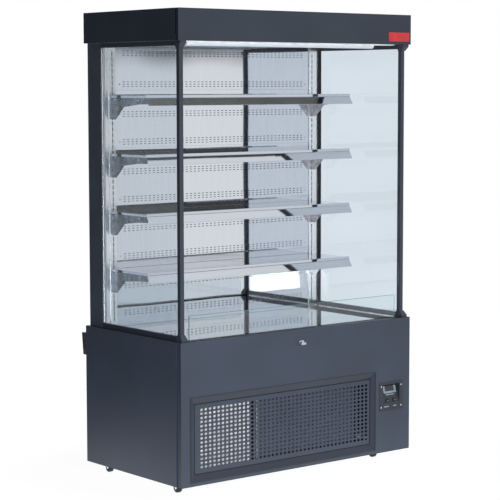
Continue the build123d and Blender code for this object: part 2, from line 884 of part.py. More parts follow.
def shelf_brackets(top):
    """Left and right plates with a top flange under the shelf and two hooks in the standard."""
    rear = standard_face - seat
    under = top - shelf_sheet
    nose = shelf_front + 2 * shelf_sheet + seam
    outline = [(rear, under), (rear, under - bracket_height), (rear - bracket_foot, under - bracket_height),
               (rear - bracket_knee_reach, under - bracket_knee_height),
               (rear - bracket_taper_reach, under - bracket_taper_height),
               (nose, under - bracket_nose_height), (nose, under)]
    x = slot_x - bracket_sheet / 2
    plate = prism(outline, profile(x), bracket_sheet)
    for i in range(2):
        slot = top - hook_drop - i * slot_pitch
        plate += prism(bracket_hook(slot), profile(x), bracket_sheet)
    rear_flange = rear - shelf_sheet - 2 * seam
    plate += block((x - bracket_flange, x), (nose, rear_flange), (under - bracket_sheet, under))
    return Compound(children=[plate, mirrored(plate)])


def castor_places():
    """Swivel axes: name, x and y. The wheels trail behind them."""
    x = half - castor_side
    y_front = front + castor_front - castor_trail
    y_back = back - castor_back - castor_trail
    return [("front_left", -x, y_front), ("front_right", x, y_front),
            ("rear_left", -x, y_back), ("rear_right", x, y_back)]


def crown_top():
    return castor_rise - castor_plate[2] - crown_gap


def castor_plates():
    """Mounting plates with the riveted kingpins that the forks turn on."""
    plates = []
    head_top = crown_top() - fork_crown - seat
    for _, x, y in castor_places():
        plate = Pos(x, y, castor_rise - castor_plate[2] / 2) * Box(*castor_plate)
        pin_length = castor_rise - castor_plate[2] - head_top
        plate += Pos(x, y, head_top + pin_length / 2) * Cylinder(kingpin_radius, pin_length)
        head = RegularPolygon(kingpin_head, kingpin_sides, major_radius=False)
        plate += extrude(plan(head_top - kingpin_head_height) * Pos(x, y) * head, kingpin_head_height)
        plates.append(plate)
    return Compound(children=plates)


def castor_fork(x, y):
    """Crown on the kingpin, two raked legs and the riveted axle."""
    top = crown_top()
    inner = wheel_width / 2 + fork_gap
    outer = inner + fork_leg
    crown_front = y - crown_ahead
    crown = block((x - outer, x + outer), (crown_front, crown_front + crown_length),
                  (top - fork_crown, top))
    crown -= Pos(x, y, top - fork_crown / 2) * Cylinder(kingpin_radius + running_fit, fork_crown)
    axle_y = y + castor_trail
    leg = [(y - leg_front, top), (y + leg_back, top), (axle_y + axle_eye, wheel_radius),
           (axle_y, wheel_radius - axle_eye), (axle_y - axle_eye, wheel_radius)]
    fork = crown + prism(leg, profile(x + inner), fork_leg) + prism(leg, profile(x - outer), fork_leg)
    axle = Rot(0, 90, 0) * Cylinder(axle_radius, 2 * inner)
    return fork + Pos(x, axle_y, wheel_radius) * axle


def castor_wheel(x, y):
    """Wheel with a sunk, many-sided hub face at each side and a plain bore."""
    tread = RegularPolygon(wheel_radius, tread_facets, major_radius=False, rotation=180 / tread_facets)
    wheel = extrude(tread, wheel_width / 2, both=True)
    for side in (-1, 1):
        recess = extrude(plan(-hub_sink / 2) * RegularPolygon(hub_radius, hub_sides), hub_sink)
        wheel -= Pos(0, 0, side * (wheel_width - hub_sink) / 2) * recess
    wheel -= Cylinder(axle_radius + running_fit, wheel_width)
    return Pos(x, y + castor_trail, wheel_radius) * Rot(0, 90, 0) * wheel


def finned_core(x, y, z, fins):
    """Coil block with grooves between its fins on the front and back faces."""
    core = block(x, y, z)
    pitch = (x[1] - x[0]) / fins
    slits = repeated(Rectangle(pitch / 2, z[1] - z[0]), GridLocations(pitch, 1, fins - 1, 1))
    middle = Pos((x[0] + x[1]) / 2, (z[0] + z[1]) / 2)
    for face in (y[0] + fin_groove, y[1]):
        core -= extrude(elevation(face) * middle * slits, fin_groove)
    return core


def condenser_coil():
    """Finned condenser between two end plates that stand on the chassis tray."""
    y = (front + coil_front, front + coil_front + coil_depth)
    core = finned_core(coil_x, y, coil_z, coil_fins)
    for x in (coil_x[0] - coil_plate, coil_x[1]):
        core += block((x, x + coil_plate), y, (tray_top, coil_z[1]))
    return core


def fan_mount(x, y, z, reach, motor, shaft_length):
    """Motor on arms across a round hole, with the fan's shaft. y is the arms' front face."""
    radius, length = motor
    mount = extrude(RegularPolygon(radius, motor_facets), -arm_sheet - length)
    mount += Pos(0, 0, shaft_length / 2) * Cylinder(shaft_radius, shaft_length)
    for turn in range(arm_count):
        arm = Pos(reach / 2, 0, -arm_sheet / 2) * Box(reach, arm_width, arm_sheet)
        mount += Rot(0, 0, 90 + 360 / arm_count * turn) * arm
    return Pos(x, y, z) * Rot(90, 0, 0) * mount


def fan_rotor(x, y, z, radius, hub, depth, blades):
    """Hub with flat pitched blades that widen to their tips. y is the hub's back face."""
    root = hub * blade_root
    tip = radius * blade_tip
    outline = Polyline((hub - blade_sheet, -root / 2), (radius, -tip / 2), (radius, tip / 2),
                       (hub - blade_sheet, root / 2), close=True)
    blade = extrude(make_face(outline), blade_sheet / 2, both=True)
    rotor = extrude(RegularPolygon(hub, hub_facets), depth)
    for turn in range(blades):
        rotor += Rot(0, 0, 360 / blades * turn) * Pos(0, 0, depth / 2) * Rot(fan_pitch, 0, 0) * blade
    rotor -= Pos(0, 0, depth / 2) * Cylinder(shaft_radius + running_fit, depth)
    return Pos(x, y, z) * Rot(90, 0, 0) * rotor


def fan_shroud():
    """Sheet shroud behind the condenser with a ring round the fan and the motor on its arms."""
    y = front + coil_front + coil_depth + seat
    ring_depth = fan_depth + fan_ring_spare
    hole = fan_radius + fan_tip_gap
    plate = block((coil_x[0] - coil_plate, coil_x[1] + coil_plate), (y, y + sheet), (tray_top, coil_z[1]))
    axis = elevation(y) * Pos(fan_x, fan_z)
    plate += extrude(axis * RegularPolygon(hole + sheet, ring_facets), -ring_depth)
    plate -= extrude(axis * RegularPolygon(hole, ring_facets), -ring_depth)
    motor = (motor_radius, motor_length)
    return plate + fan_mount(fan_x, y + ring_depth, fan_z, hole + sheet, motor, fan_depth)


def condenser_fan():
    y = front + coil_front + coil_depth + seat + fan_depth + fan_ring_spare
    return fan_rotor(fan_x, y - shaft_gap, fan_z, fan_radius, fan_hub, fan_depth - 2 * shaft_gap,
                     fan_blades)


def baffle_sheet():
    """Plain folded sheet beside the condenser, seen through the grille."""
    y = front + baffle_front
    left, right = baffle_x
    path = [(left, y - baffle_fold), (left, y), (right, y), (right, y - baffle_fold)]
    return folded(path, sheet, plan(tray_top), tub_bottom - baffle_down - tray_top)


def compressor():
    """Welded steel can with domed ends and a flange at its seam, on a foot plate with four grommets."""
    y = back - compressor_back
    foot_top = tray_top + compressor_stand + compressor_foot[2]

    def ring(radius, z):
        return plan(foot_top + z) * Pos(compressor_x, y) * RegularPolygon(radius, compressor_sides)
    can = extrude(ring(compressor_radius, 0), compressor_height)
    for end in (0, -1):
        rim = can.faces().sort_by(Axis.Z)[end]
        can = chamfer(rim.edges(), compressor_dome, compressor_shoulder, reference=rim)
    seam_ring = ring(compressor_radius + compressor_flange, compressor_seam)
    unit = can + extrude(seam_ring, compressor_flange_height)
    unit += Pos(compressor_x, y, foot_top - compressor_foot[2] / 2) * Box(*compressor_foot)
    for x in (-1, 1):
        for dy in (-1, 1):
            place = Pos(compressor_x + x * (compressor_foot[0] / 2 - grommet_inset),
                        y + dy * (compressor_foot[1] / 2 - grommet_inset))
            grommet = RegularPolygon(grommet_radius, grommet_sides)
            unit += extrude(plan(tray_top) * place * grommet, compressor_stand)
    return unit


def drip_pan():
    """Shallow pan that catches the condensate."""
    y = (back - pan_back - pan_depth, back - pan_back)
    z = (tray_top, tray_top + pan_height)
    pan = block(pan_x, y, z)
    pan -= block((pan_x[0] + pan_sheet, pan_x[1] - pan_sheet), (y[0] + pan_sheet, y[1] - pan_sheet),
                 (z[0] + pan_sheet, z[1]))
    return pan


def evaporator_coil():
    y = (front + evaporator_front, front + evaporator_front + evaporator_depth)
    z = (tub_floor, tub_floor + evaporator_height)
    reach = well_half - evaporator_inset
    return finned_core((-reach, reach), y, z, evaporator_fins)


def cold_fan_z():
    return (tub_floor + deck_height - sheet) / 2


def evaporator_fan_plate():
    """Upright plate under the deck with two fan holes and their motors."""
    y = front + fan_plate_setback
    reach = well_half - 2 * seam
    hole = cold_fan_radius + cold_fan_tip_gap
    plate = block((-reach, reach), (y, y + sheet), (tub_floor, deck_height - sheet - seat))
    for x in (-cold_fan_x, cold_fan_x):
        opening = RegularPolygon(hole, cold_hole_facets, major_radius=False)
        plate -= extrude(elevation(y) * Pos(x, cold_fan_z()) * opening, -sheet)
        plate += fan_mount(x, y, cold_fan_z(), hole + cold_arm_bite, (cold_motor_radius, cold_motor_length),
                           cold_fan_depth)
    return plate


def cold_fan(x):
    y = front + fan_plate_setback
    return fan_rotor(x, y - shaft_gap, cold_fan_z(), cold_fan_radius, cold_fan_hub,
                     cold_fan_depth - 2 * shaft_gap, cold_fan_blades)


def all_parts():
    parts = {
        "base_chassis": base_chassis(), "base_side_left": base_side_left(),
        "base_side_right": base_side_right(), "base_front_panel": base_front_panel(),
        "base_rear_panel": base_rear_panel(), "grille_frame": grille_frame(),
        "grille_panel": grille_panel(), "control_plate": control_plate(), "controller": controller(),
        "switch_bodies": switch_bodies(), "switch_power": rocker(-1), "switch_lamp": rocker(1),
        "panel_screws": panel_screws(), "front_hook": front_hook(), "rear_spacers": rear_spacers(),
        "insulated_tub": insulated_tub(), "sill_frame": sill_frame(), "display_deck": display_deck(),
        "front_glass": low_front_glass(), "rear_wall": rear_wall(), "back_panels": back_panels(),
        "shelf_standards": shelf_standards(), "side_glass_left": side_glass_left(),
        "side_glass_right": side_glass_right(), "glass_rails": glass_rails(),
        "front_posts": front_posts(), "corner_blocks": corner_blocks(),
        "canopy_fascia": canopy_fascia(), "canopy_shell": canopy_shell(),
        "canopy_ceiling": canopy_ceiling(), "air_outlet": air_outlet(), "lamp_body": lamp_body(),
        "lamp_diffuser": lamp_diffuser(), "castor_plates": castor_plates(),
        "condenser_coil": condenser_coil(), "fan_shroud": fan_shroud(),
        "condenser_fan": condenser_fan(), "baffle_sheet": baffle_sheet(), "compressor": compressor(),
        "drip_pan": drip_pan(), "evaporator_coil": evaporator_coil(),
        "evaporator_fan_plate": evaporator_fan_plate(), "evaporator_fan_left": cold_fan(-cold_fan_x),
        "evaporator_fan_right": cold_fan(cold_fan_x),
    }
    for number, top in enumerate(shelf_tops, 1):
        parts[f"shelf_{number}_deck"] = shelf_deck(top)
        parts[f"shelf_{number}_brackets"] = shelf_brackets(top)
    for name, x, y in castor_places():
        parts[f"castor_fork_{name}"] = castor_fork(x, y)
        parts[f"castor_wheel_{name}"] = castor_wheel(x, y)
    return parts


os.makedirs("parts", exist_ok=True)
for name, shape in all_parts().items():
    export_step(shape, f"parts/{name}.step")
    print(name, len(shape.solids()), round(shape.volume))
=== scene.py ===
import math

import bmesh
import bpy
from mathutils import Matrix, Vector


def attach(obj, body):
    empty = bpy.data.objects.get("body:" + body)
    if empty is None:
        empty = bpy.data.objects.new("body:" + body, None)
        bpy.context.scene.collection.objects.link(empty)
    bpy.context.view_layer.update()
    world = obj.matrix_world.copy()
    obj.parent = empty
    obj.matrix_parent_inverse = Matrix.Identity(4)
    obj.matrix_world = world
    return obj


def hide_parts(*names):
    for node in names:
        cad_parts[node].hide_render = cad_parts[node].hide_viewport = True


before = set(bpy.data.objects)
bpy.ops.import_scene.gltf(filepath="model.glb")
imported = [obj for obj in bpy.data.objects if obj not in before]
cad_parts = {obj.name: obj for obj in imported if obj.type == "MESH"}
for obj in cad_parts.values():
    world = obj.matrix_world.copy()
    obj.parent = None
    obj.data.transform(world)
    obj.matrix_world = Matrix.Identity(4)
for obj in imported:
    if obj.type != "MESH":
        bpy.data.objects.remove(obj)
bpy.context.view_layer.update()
scene = bpy.context.scene

# ---- camera, where the photograph was taken from ----
cameraSetup = {"place": (-4.727, -5.884, 1.671), "heading": -38.814, "tilt": -5.398, "roll": -0.091,
               "lens": 124.86, "sensor": 36}


def addCamera(setup):
    data = bpy.data.cameras.new("camera")
    data.lens = setup["lens"]
    data.sensor_width = setup["sensor"]
    data.sensor_fit = "HORIZONTAL"
    camera = bpy.data.objects.new("camera", data)
    turn = Matrix.Rotation(math.radians(setup["heading"]), 4, "Z")
    turn @= Matrix.Rotation(math.radians(90 + setup["tilt"]), 4, "X")
    turn @= Matrix.Rotation(math.radians(setup["roll"]), 4, "Z")
    camera.matrix_world = Matrix.Translation(setup["place"]) @ turn
    scene.collection.objects.link(camera)
    scene.camera = camera


addCamera(cameraSetup)
scene.view_settings.view_transform = "Standard"


# ---- node and colour helpers ----
def linear(code):
    # sRGB hex to the linear colour that sockets take
    parts = [int(code[i:i + 2], 16) / 255 for i in (1, 3, 5)]
    return [p / 12.92 if p <= 0.04045 else ((p + 0.055) / 1.055) ** 2.4 for p in parts] + [1]


def perMetre(size):
    # texture scale for a pattern whose repeat is this many millimetres
    return 1000 / size


def addNode(tree, kind, settings=None, links=None):
    node = tree.nodes.new("ShaderNode" + kind)
    for key, value in (settings or {}).items():
        if key == "stops":
            ramp = node.color_ramp.elements
            while len(ramp) < len(value):
                ramp.new(0.5)
            for stop, (place, colour) in zip(ramp, value):
                stop.position = place
                stop.color = linear(colour)
        elif isinstance(key, str) and hasattr(node, key):
            setattr(node, key, value)
        else:
            node.inputs[key].default_value = value
    for key, (source, output) in (links or {}).items():
        tree.links.new(source.outputs[output], node.inputs[key])
    return node


def startMaterial(name):
    material = bpy.data.materials.new(name)
    material.use_nodes = True
    material.node_tree.nodes.clear()
    return material, material.node_tree


def closeMaterial(tree, shader):
    addNode(tree, "OutputMaterial", links={"Surface": (shader, 0)})


def coatedSteel(name, colour, peel=3.0, roughness=0.46, specular=0.42):
    # powder-coated steel sheet, baked: satin colour with a faint orange peel and slightly uneven depth
    material, tree = startMaterial(name)
    place = addNode(tree, "TexCoord")
    drift = addNode(tree, "TexNoise", {"Scale": perMetre(260), "Detail": 2}, {"Vector": (place, "Object")})
    grain = addNode(tree, "TexNoise", {"Scale": perMetre(peel), "Detail": 3}, {"Vector": (place, "Object")})
    dark, light = shade(colour, 0.96), shade(colour, 1.04)
    tone = addNode(tree, "ValToRGB", {"stops": [(0.35, dark), (0.65, light)]}, {"Fac": (drift, "Fac")})
    rough = addNode(tree, "MapRange", {"To Min": roughness - 0.05, "To Max": roughness + 0.05}, {"Value": (grain, "Fac")})
    bump = addNode(tree, "Bump", {"Strength": 0.12, "Distance": 0.0002}, {"Height": (grain, "Fac")})
    shader = addNode(tree, "BsdfPrincipled", {"Specular IOR Level": specular},
                     {"Base Color": (tone, "Color"), "Roughness": (rough, 0), "Normal": (bump, 0)})
    closeMaterial(tree, shader)
    return material


def shade(code, factor):
    # the same hue a little darker or lighter, as sRGB hex
    return "#" + "".join(f"{min(255, round(int(code[i:i + 2], 16) * factor)):02X}" for i in (1, 3, 5))


def polishedSteel(name, colour, waves=320, slope=0.35, roughness=0.07, grain=(2.5, 2.5, 160)):
    # bright-annealed stainless sheet: a near mirror with rolling lines and slow dents from folding
    material, tree = startMaterial(name)
    place = addNode(tree, "TexCoord")
    wave = addNode(tree, "TexNoise", {"Scale": perMetre(waves), "Detail": 1}, {"Vector": (place, "Object")})
    stretch = addNode(tree, "Mapping", {"Scale": [perMetre(g) for g in grain]}, {"Vector": (place, "Object")})
    lines = addNode(tree, "TexNoise", {"Scale": 1, "Detail": 2}, {"Vector": (stretch, 0)})
    tone = addNode(tree, "ValToRGB", {"stops": [(0.3, shade(colour, 0.985)), (0.7, shade(colour, 1.015))]},
                   {"Fac": (lines, "Fac")})
    rough = addNode(tree, "MapRange", {"To Min": roughness * 0.6, "To Max": roughness * 1.5}, {"Value": (lines, "Fac")})
    bump = addNode(tree, "Bump", {"Strength": slope, "Distance": 0.004}, {"Height": (wave, "Fac")})
    shader = addNode(tree, "BsdfPrincipled", {"Metallic": 1},
                     {"Base Color": (tone, "Color"), "Roughness": (rough, 0), "Normal": (bump, 0)})
    closeMaterial(tree, shader)
    return material


def zincSteel(name, colour, spangle=14, roughness=0.38, strength=0.15):
    # hot-dipped or plated zinc on steel: flat grey metal broken into faint spangles
    material, tree = startMaterial(name)
    place = addNode(tree, "TexCoord")
    cells = addNode(tree, "TexVoronoi", {"Scale": perMetre(spangle)}, {"Vector": (place, "Object")})
    tone = addNode(tree, "ValToRGB", {"stops": [(0, shade(colour, 0.9)), (1, shade(colour, 1.08))]},
                   {"Fac": (cells, "Color")})
    rough = addNode(tree, "MapRange", {"To Min": roughness - 0.08, "To Max": roughness + 0.1}, {"Value": (cells, "Color")})
    bump = addNode(tree, "Bump", {"Strength": strength, "Distance": 0.0003}, {"Height": (cells, "Distance")})
    shader = addNode(tree, "BsdfPrincipled", {"Metallic": 1},
                     {"Base Color": (tone, "Color"), "Roughness": (rough, 0), "Normal": (bump, 0)})
    closeMaterial(tree, shader)
    return material


def mouldedPlastic(name, colour, texture=0.8, roughness=0.45, strength=0.15, ior=1.5):
    # injection-moulded plastic or rubber: spark-eroded grain from the mould, no metal in it
    material, tree = startMaterial(name)
    place = addNode(tree, "TexCoord")
    grain = addNode(tree, "TexNoise", {"Scale": perMetre(texture), "Detail": 4}, {"Vector": (place, "Object")})
    drift = addNode(tree, "TexNoise", {"Scale": perMetre(40), "Detail": 1}, {"Vector": (place, "Object")})
    tone = addNode(tree, "ValToRGB", {"stops": [(0.3, shade(colour, 0.93)), (0.7, shade(colour, 1.07))]},
                   {"Fac": (drift, "Fac")})
    rough = addNode(tree, "MapRange", {"To Min": roughness - 0.06, "To Max": roughness + 0.06}, {"Value": (grain, "Fac")})
    bump = addNode(tree, "Bump", {"Strength": strength, "Distance": 0.0001}, {"Height": (grain, "Fac")})
    shader = addNode(tree, "BsdfPrincipled", {"IOR": ior},
                     {"Base Color": (tone, "Color"), "Roughness": (rough, 0), "Normal": (bump, 0)})
    closeMaterial(tree, shader)
    return material


def platedMetal(name, colour, roughness=0.12, grain=1.2):
    # plated or bare bright metal with fine wiping marks
    material, tree = startMaterial(name)
    place = addNode(tree, "TexCoord")
    marks = addNode(tree, "TexNoise", {"Scale": perMetre(grain), "Detail": 3}, {"Vector": (place, "Object")})
    tone = addNode(tree, "ValToRGB", {"stops": [(0.3, shade(colour, 0.94)), (0.7, shade(colour, 1.04))]},
                   {"Fac": (marks, "Fac")})
    rough = addNode(tree, "MapRange", {"To Min": roughness * 0.7, "To Max": roughness * 1.4}, {"Value": (marks, "Fac")})
    shader = addNode(tree, "BsdfPrincipled", {"Metallic": 1},
                     {"Base Color": (tone, "Color"), "Roughness": (rough, 0)})
    closeMaterial(tree, shader)
    return material


def floatGlass(name, colour, haze=0.0, clear=1):
    # toughened float glass: clear, slightly blue-green, a little uneven from the roller hearth
    material, tree = startMaterial(name)
    place = addNode(tree, "TexCoord")
    wave = addNode(tree, "TexNoise", {"Scale": perMetre(400), "Detail": 1}, {"Vector": (place, "Object")})
    tone = addNode(tree, "ValToRGB", {"stops": [(0.3, shade(colour, 0.99)), (0.7, shade(colour, 1.01))]},
                   {"Fac": (wave, "Fac")})
    bump = addNode(tree, "Bump", {"Strength": 0.08, "Distance": 0.001}, {"Height": (wave, "Fac")})
    glass = addNode(tree, "BsdfPrincipled", {"Transmission Weight": clear, "IOR": 1.52, "Roughness": haze},
                    {"Base Color": (tone, "Color"), "Normal": (bump, 0)})
    clear = addNode(tree, "BsdfTransparent", links={"Color": (tone, "Color")})
    path = addNode(tree, "LightPath")
    # lamps shine through it, as they do through real glass
    shader = addNode(tree, "MixShader", links={0: (path, "Is Shadow Ray"), 1: (glass, 0), 2: (clear, 0)})
    closeMaterial(tree, shader)
    return material


def opalAcrylic(name, colour, strength):
    # extruded opal acrylic over the lamp: an even glow, faintly clouded
    material, tree = startMaterial(name)
    place = addNode(tree, "TexCoord")
    haze = addNode(tree, "TexNoise", {"Scale": perMetre(60), "Detail": 1}, {"Vector": (place, "Object")})
    tone = addNode(tree, "ValToRGB", {"stops": [(0.2, shade(colour, 0.96)), (0.8, colour)]}, {"Fac": (haze, "Fac")})
    shader = addNode(tree, "BsdfPrincipled", {"Roughness": 0.3, "IOR": 1.49, "Emission Strength": strength},
                     {"Base Color": (tone, "Color"), "Emission Color": (tone, "Color")})
    closeMaterial(tree, shader)
    return material


def wallPanel(name, outside, inside, halfWidth, depth):
    # foamed wall: satin paint outside, and the pale foil that lines its air duct
    material, tree = startMaterial(name)
    place = addNode(tree, "TexCoord")
    axes = addNode(tree, "SeparateXYZ", links={0: (place, "Object")})
    across = addNode(tree, "Math", {"operation": "ABSOLUTE"}, {0: (axes, "X")})
    across = addNode(tree, "Math", {"operation": "LESS_THAN", 1: halfWidth}, {0: (across, 0)})
    near = addNode(tree, "Math", {"operation": "LESS_THAN", 1: depth}, {0: (axes, "Y")})
    duct = addNode(tree, "Math", {"operation": "MULTIPLY"}, {0: (across, 0), 1: (near, 0)})
    drift = addNode(tree, "TexNoise", {"Scale": perMetre(120), "Detail": 2}, {"Vector": (place, "Object")})
    paint = addNode(tree, "ValToRGB", {"stops": [(0.35, shade(outside, 0.96)), (0.65, shade(outside, 1.04))]}, {"Fac": (drift, "Fac")})
    foil = addNode(tree, "ValToRGB", {"stops": [(0.3, shade(inside, 0.94)), (0.7, inside)]}, {"Fac": (drift, "Fac")})
    tone = addNode(tree, "Mix", {"data_type": "RGBA"}, {"Factor": (duct, 0), 6: (paint, "Color"), 7: (foil, "Color")})
    shader = addNode(tree, "BsdfPrincipled", {"Roughness": 0.42}, {"Base Color": (tone, 2)})
    closeMaterial(tree, shader)
    return material


def bracketPlate(name, left, right):
    # pickled stainless plate with a blotchy mill finish; the left-hand brackets take a darker copy of the same steel
    # than the right, as painted shade
    material, tree = startMaterial(name)
    place = addNode(tree, "TexCoord")
    axes = addNode(tree, "SeparateXYZ", links={0: (place, "Object")})
    # painted shade: brackets left of the middle take the darker tone
    hand = addNode(tree, "Math", {"operation": "GREATER_THAN", 1: 0.0}, {0: (axes, "X")})
    blotch = addNode(tree, "TexNoise", {"Scale": perMetre(24), "Detail": 3}, {"Vector": (place, "Object")})
    tones = [addNode(tree, "ValToRGB", {"stops": [(0.35, shade(code, 0.86)), (0.65, shade(code, 1.1))]}, {"Fac": (blotch, "Fac")})
             for code in (left, right)]
    tone = addNode(tree, "Mix", {"data_type": "RGBA"}, {"Factor": (hand, 0), 6: (tones[0], "Color"), 7: (tones[1], "Color")})
    rough = addNode(tree, "MapRange", {"To Min": 0.2, "To Max": 0.4}, {"Value": (blotch, "Fac")})
    shader = addNode(tree, "BsdfPrincipled", {"Metallic": 1}, {"Base Color": (tone, 2), "Roughness": (rough, 0)})
    closeMaterial(tree, shader)
    return material


finishes = {
    "wallPaint": wallPanel("powderCoatedFoamWall", "#3A424E", "#8D939D", 0.5925, 0.27),
    "mirrorStandard": polishedSteel("linishedStainlessStandard", "#ECECEE", waves=200, slope=0.1, roughness=0.22),
    "baffleZinc": zincSteel("electroGalvanisedBaffle", "#8791A2", roughness=0.55, strength=0.05),
    "seal": mouldedPlastic("siliconeBeadWithPaintedHighlight", "#DDE3E8", roughness=0.25, strength=0.05),
    "rawEdge": platedMetal("shearedSteelEdge", "#B5AFA8", roughness=0.35),
    "basePaint": coatedSteel("powderCoatedSteelSlate", "#343C4A"),
    "ceilingPaint": coatedSteel("powderCoatedSteelCeiling", "#96938C"),
    # the grille surround's paint is a darker copy of the slate paint: painted shade on its bevels
    "surroundShadedPaint": coatedSteel("powderCoatedSteelSurroundShaded", "#272E39"),
    # the canopy's slate paint is a darker copy of the base's: painted shade
    "canopyShadedPaint": coatedSteel("powderCoatedSteelSlateCanopyShaded", "#28303C"),
    "framePaint": coatedSteel("powderCoatedAluminiumGraphite", "#2F3541", roughness=0.34),
    "sillPaint": coatedSteel("powderCoatedSteelGraphite", "#2A2F38", roughness=0.4),
    "mirrorPanel": polishedSteel("brightAnnealedStainlessPanel", "#D6D8DE", slope=0.25, roughness=0.03),
    "mirrorShelf": polishedSteel("brightAnnealedStainlessShelf", "#C9CCD3", waves=260, slope=0.2, roughness=0.04, grain=(160, 2.5, 2.5)),
    "mirrorDeck": polishedSteel("brightAnnealedStainlessDeck", "#CDD0D7", waves=300, slope=0.25, grain=(160, 2.5, 2.5), roughness=0.04),
    "mirrorTub": polishedSteel("brightAnnealedStainlessLiner", "#C9CDD5", roughness=0.1),
    # the left brackets' darker tone is painted shade
    "bracketSteelShadedLeft": bracketPlate("pickledStainlessBracketShadedLeft", "#7E838B", "#D2D5DC"),
    "zinc": zincSteel("hotDippedZincSteel", "#A9ADB3"),
    "spacerZinc": zincSteel("passivatedZincSteel", "#8D8E93", roughness=0.5),
    "sideGlass": floatGlass("toughenedFloatGlass", "#E9EFF3"),
    "frontGlass": floatGlass("toughenedClearGlass", "#F4FAFA"),
    "glassEdge": floatGlass("groundGlassEdge", "#2E8C92", haze=0.5, clear=0.15),
    "blackPlastic": mouldedPlastic("mouldedBlackPolyamide", "#1B1D21"),
    "tyre": mouldedPlastic("mouldedBlackRubber", "#0C0D10", roughness=0.6),
    "displayLens": mouldedPlastic("smokedPolycarbonateLens", "#2B2729", roughness=0.12, strength=0.02),
    "printedGrey": mouldedPlastic("screenPrintedGreyInk", "#7C8A97", roughness=0.5, strength=0.02),
    "badge": mouldedPlastic("enamelledRedPlate", "#B72E32", roughness=0.3, strength=0.02),
    "whitePlastic": mouldedPlastic("mouldedWhitePolystyrene", "#EDF1F4", roughness=0.4),
    "opal": opalAcrylic("opalAcrylicDiffuser", "#BDC8D2", 0.3),
    "ductLiner": mouldedPlastic("foamedAbsDuctLiner", "#C4CBD3", roughness=0.5),
    "chrome": platedMetal("nickelChromePlate", "#D9DCE0", roughness=0.08),
    "screwZinc": platedMetal("brightZincPlatedScrew", "#E4E1DE", roughness=0.25),
    "fins": platedMetal("rolledAluminiumFinStock", "#EEF1F4", roughness=0.6),
    "copper": platedMetal("drawnCopperTube", "#C98A63", roughness=0.25),
    "compressorPaint": mouldedPlastic("stovedBlackEnamel", "#17181A", roughness=0.25, strength=0.05),
    "fanPlastic": mouldedPlastic("mouldedGreyPolypropylene", "#3A3E44", roughness=0.5),
    "hubZinc": platedMetal("brightZincPlatedHub", "#C9D9E4", roughness=0.35),
}
print("materials:", len(finishes))

nodeFinish = {
    "base_chassis": "zinc", "base_side_left": "basePaint", "base_side_right": "basePaint",
    "base_front_panel": "basePaint", "base_rear_panel": "basePaint", "grille_frame": "basePaint",
    "grille_panel": "basePaint", "control_plate": "sillPaint", "controller": "blackPlastic",
    "switch_bodies": "blackPlastic", "switch_power": "blackPlastic", "switch_lamp": "blackPlastic",
    "panel_screws": "screwZinc", "front_hook": "chrome", "rear_spacers": "spacerZinc",
    "insulated_tub": "mirrorTub", "sill_frame": "sillPaint", "display_deck": "mirrorDeck",
    "front_glass": "frontGlass", "rear_wall": "wallPaint", "back_panels": "mirrorPanel",
    "shelf_standards": "mirrorStandard", "side_glass_left": "sideGlass", "side_glass_right": "sideGlass",
    "glass_rails": "framePaint", "front_posts": "framePaint", "corner_blocks": "framePaint",
    "canopy_fascia": "canopyShadedPaint", "canopy_shell": "canopyShadedPaint", "canopy_ceiling": "ceilingPaint",
    "air_outlet": "whitePlastic", "lamp_body": "whitePlastic", "lamp_diffuser": "opal",
    "castor_plates": "zinc", "condenser_coil": "fins", "fan_shroud": "zinc", "condenser_fan": "fanPlastic",
    "baffle_sheet": "baffleZinc", "compressor": "compressorPaint", "drip_pan": "zinc",
    "evaporator_coil": "fins", "evaporator_fan_plate": "mirrorTub", "evaporator_fan_left": "fanPlastic",
    "evaporator_fan_right": "fanPlastic",
}
for level in range(1, 5):
    nodeFinish[f"shelf_{level}_deck"] = "mirrorShelf"
    nodeFinish[f"shelf_{level}_brackets"] = "bracketSteelShadedLeft"
for corner in ("front_left", "front_right", "rear_left", "rear_right"):
    nodeFinish[f"castor_fork_{corner}"] = "hubZinc"
    nodeFinish[f"castor_wheel_{corner}"] = "tyre"
for node, finish in nodeFinish.items():
    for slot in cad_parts[node].material_slots:
        slot.material = finishes[finish]


# ---- mesh helpers, all in millimetres ----
def finishMesh(name, points, faces, finish, body, slot, sharp=35, extraFinishes=()):
    # a piece from points in millimetres: welded, smooth except at edges sharper than the given angle
    mesh = bpy.data.meshes.new(name)
    mesh.from_pydata([(x / 1000, y / 1000, z / 1000) for x, y, z in points], [], [f[0] if isinstance(f[0], (list, tuple)) else f for f in faces])
    for extra in (finish, *extraFinishes):
        mesh.materials.append(finishes[extra])
    for face, given in zip(mesh.polygons, faces):
        if isinstance(given[0], (list, tuple)):
            face.material_index = given[1]
    work = bmesh.new()
    work.from_mesh(mesh)
    bmesh.ops.remove_doubles(work, verts=work.verts, dist=1e-6)
    bmesh.ops.recalc_face_normals(work, faces=work.faces)
    for face in work.faces:
        face.smooth = True
    limit = math.radians(sharp)
    for edge in work.edges:
        edge.smooth = len(edge.link_faces) == 2 and edge.calc_face_angle(0) < limit
    work.to_mesh(mesh)
    work.free()
    piece = bpy.data.objects.new(name, mesh)
    scene.collection.objects.link(piece)
    flat = piece.modifiers.new("flatFaces", "WEIGHTED_NORMAL")     # keeps wide faces flat beside their rounded folds
    flat.keep_sharp = True
    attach(piece, body)
    return piece


def boxPart(low, high):
    (ax, ay, az), (bx, by, bz) = low, high
    points = [(ax, ay, az), (bx, ay, az), (bx, by, az), (ax, by, az), (ax, ay, bz), (bx, ay, bz), (bx, by, bz), (ax, by, bz)]
    return points, [(0, 3, 2, 1), (4, 5, 6, 7), (0, 1, 5, 4), (1, 2, 6, 5), (2, 3, 7, 6), (3, 0, 4, 7)]


def joinParts(parts):
    points, faces = [], []
    for morePoints, moreFaces in parts:
        base = len(points)
        points += morePoints
        for face in moreFaces:
            if isinstance(face[0], (list, tuple)):
                faces.append(([base + i for i in face[0]], face[1]))
            else:
                faces.append([base + i for i in face])
    return points, faces


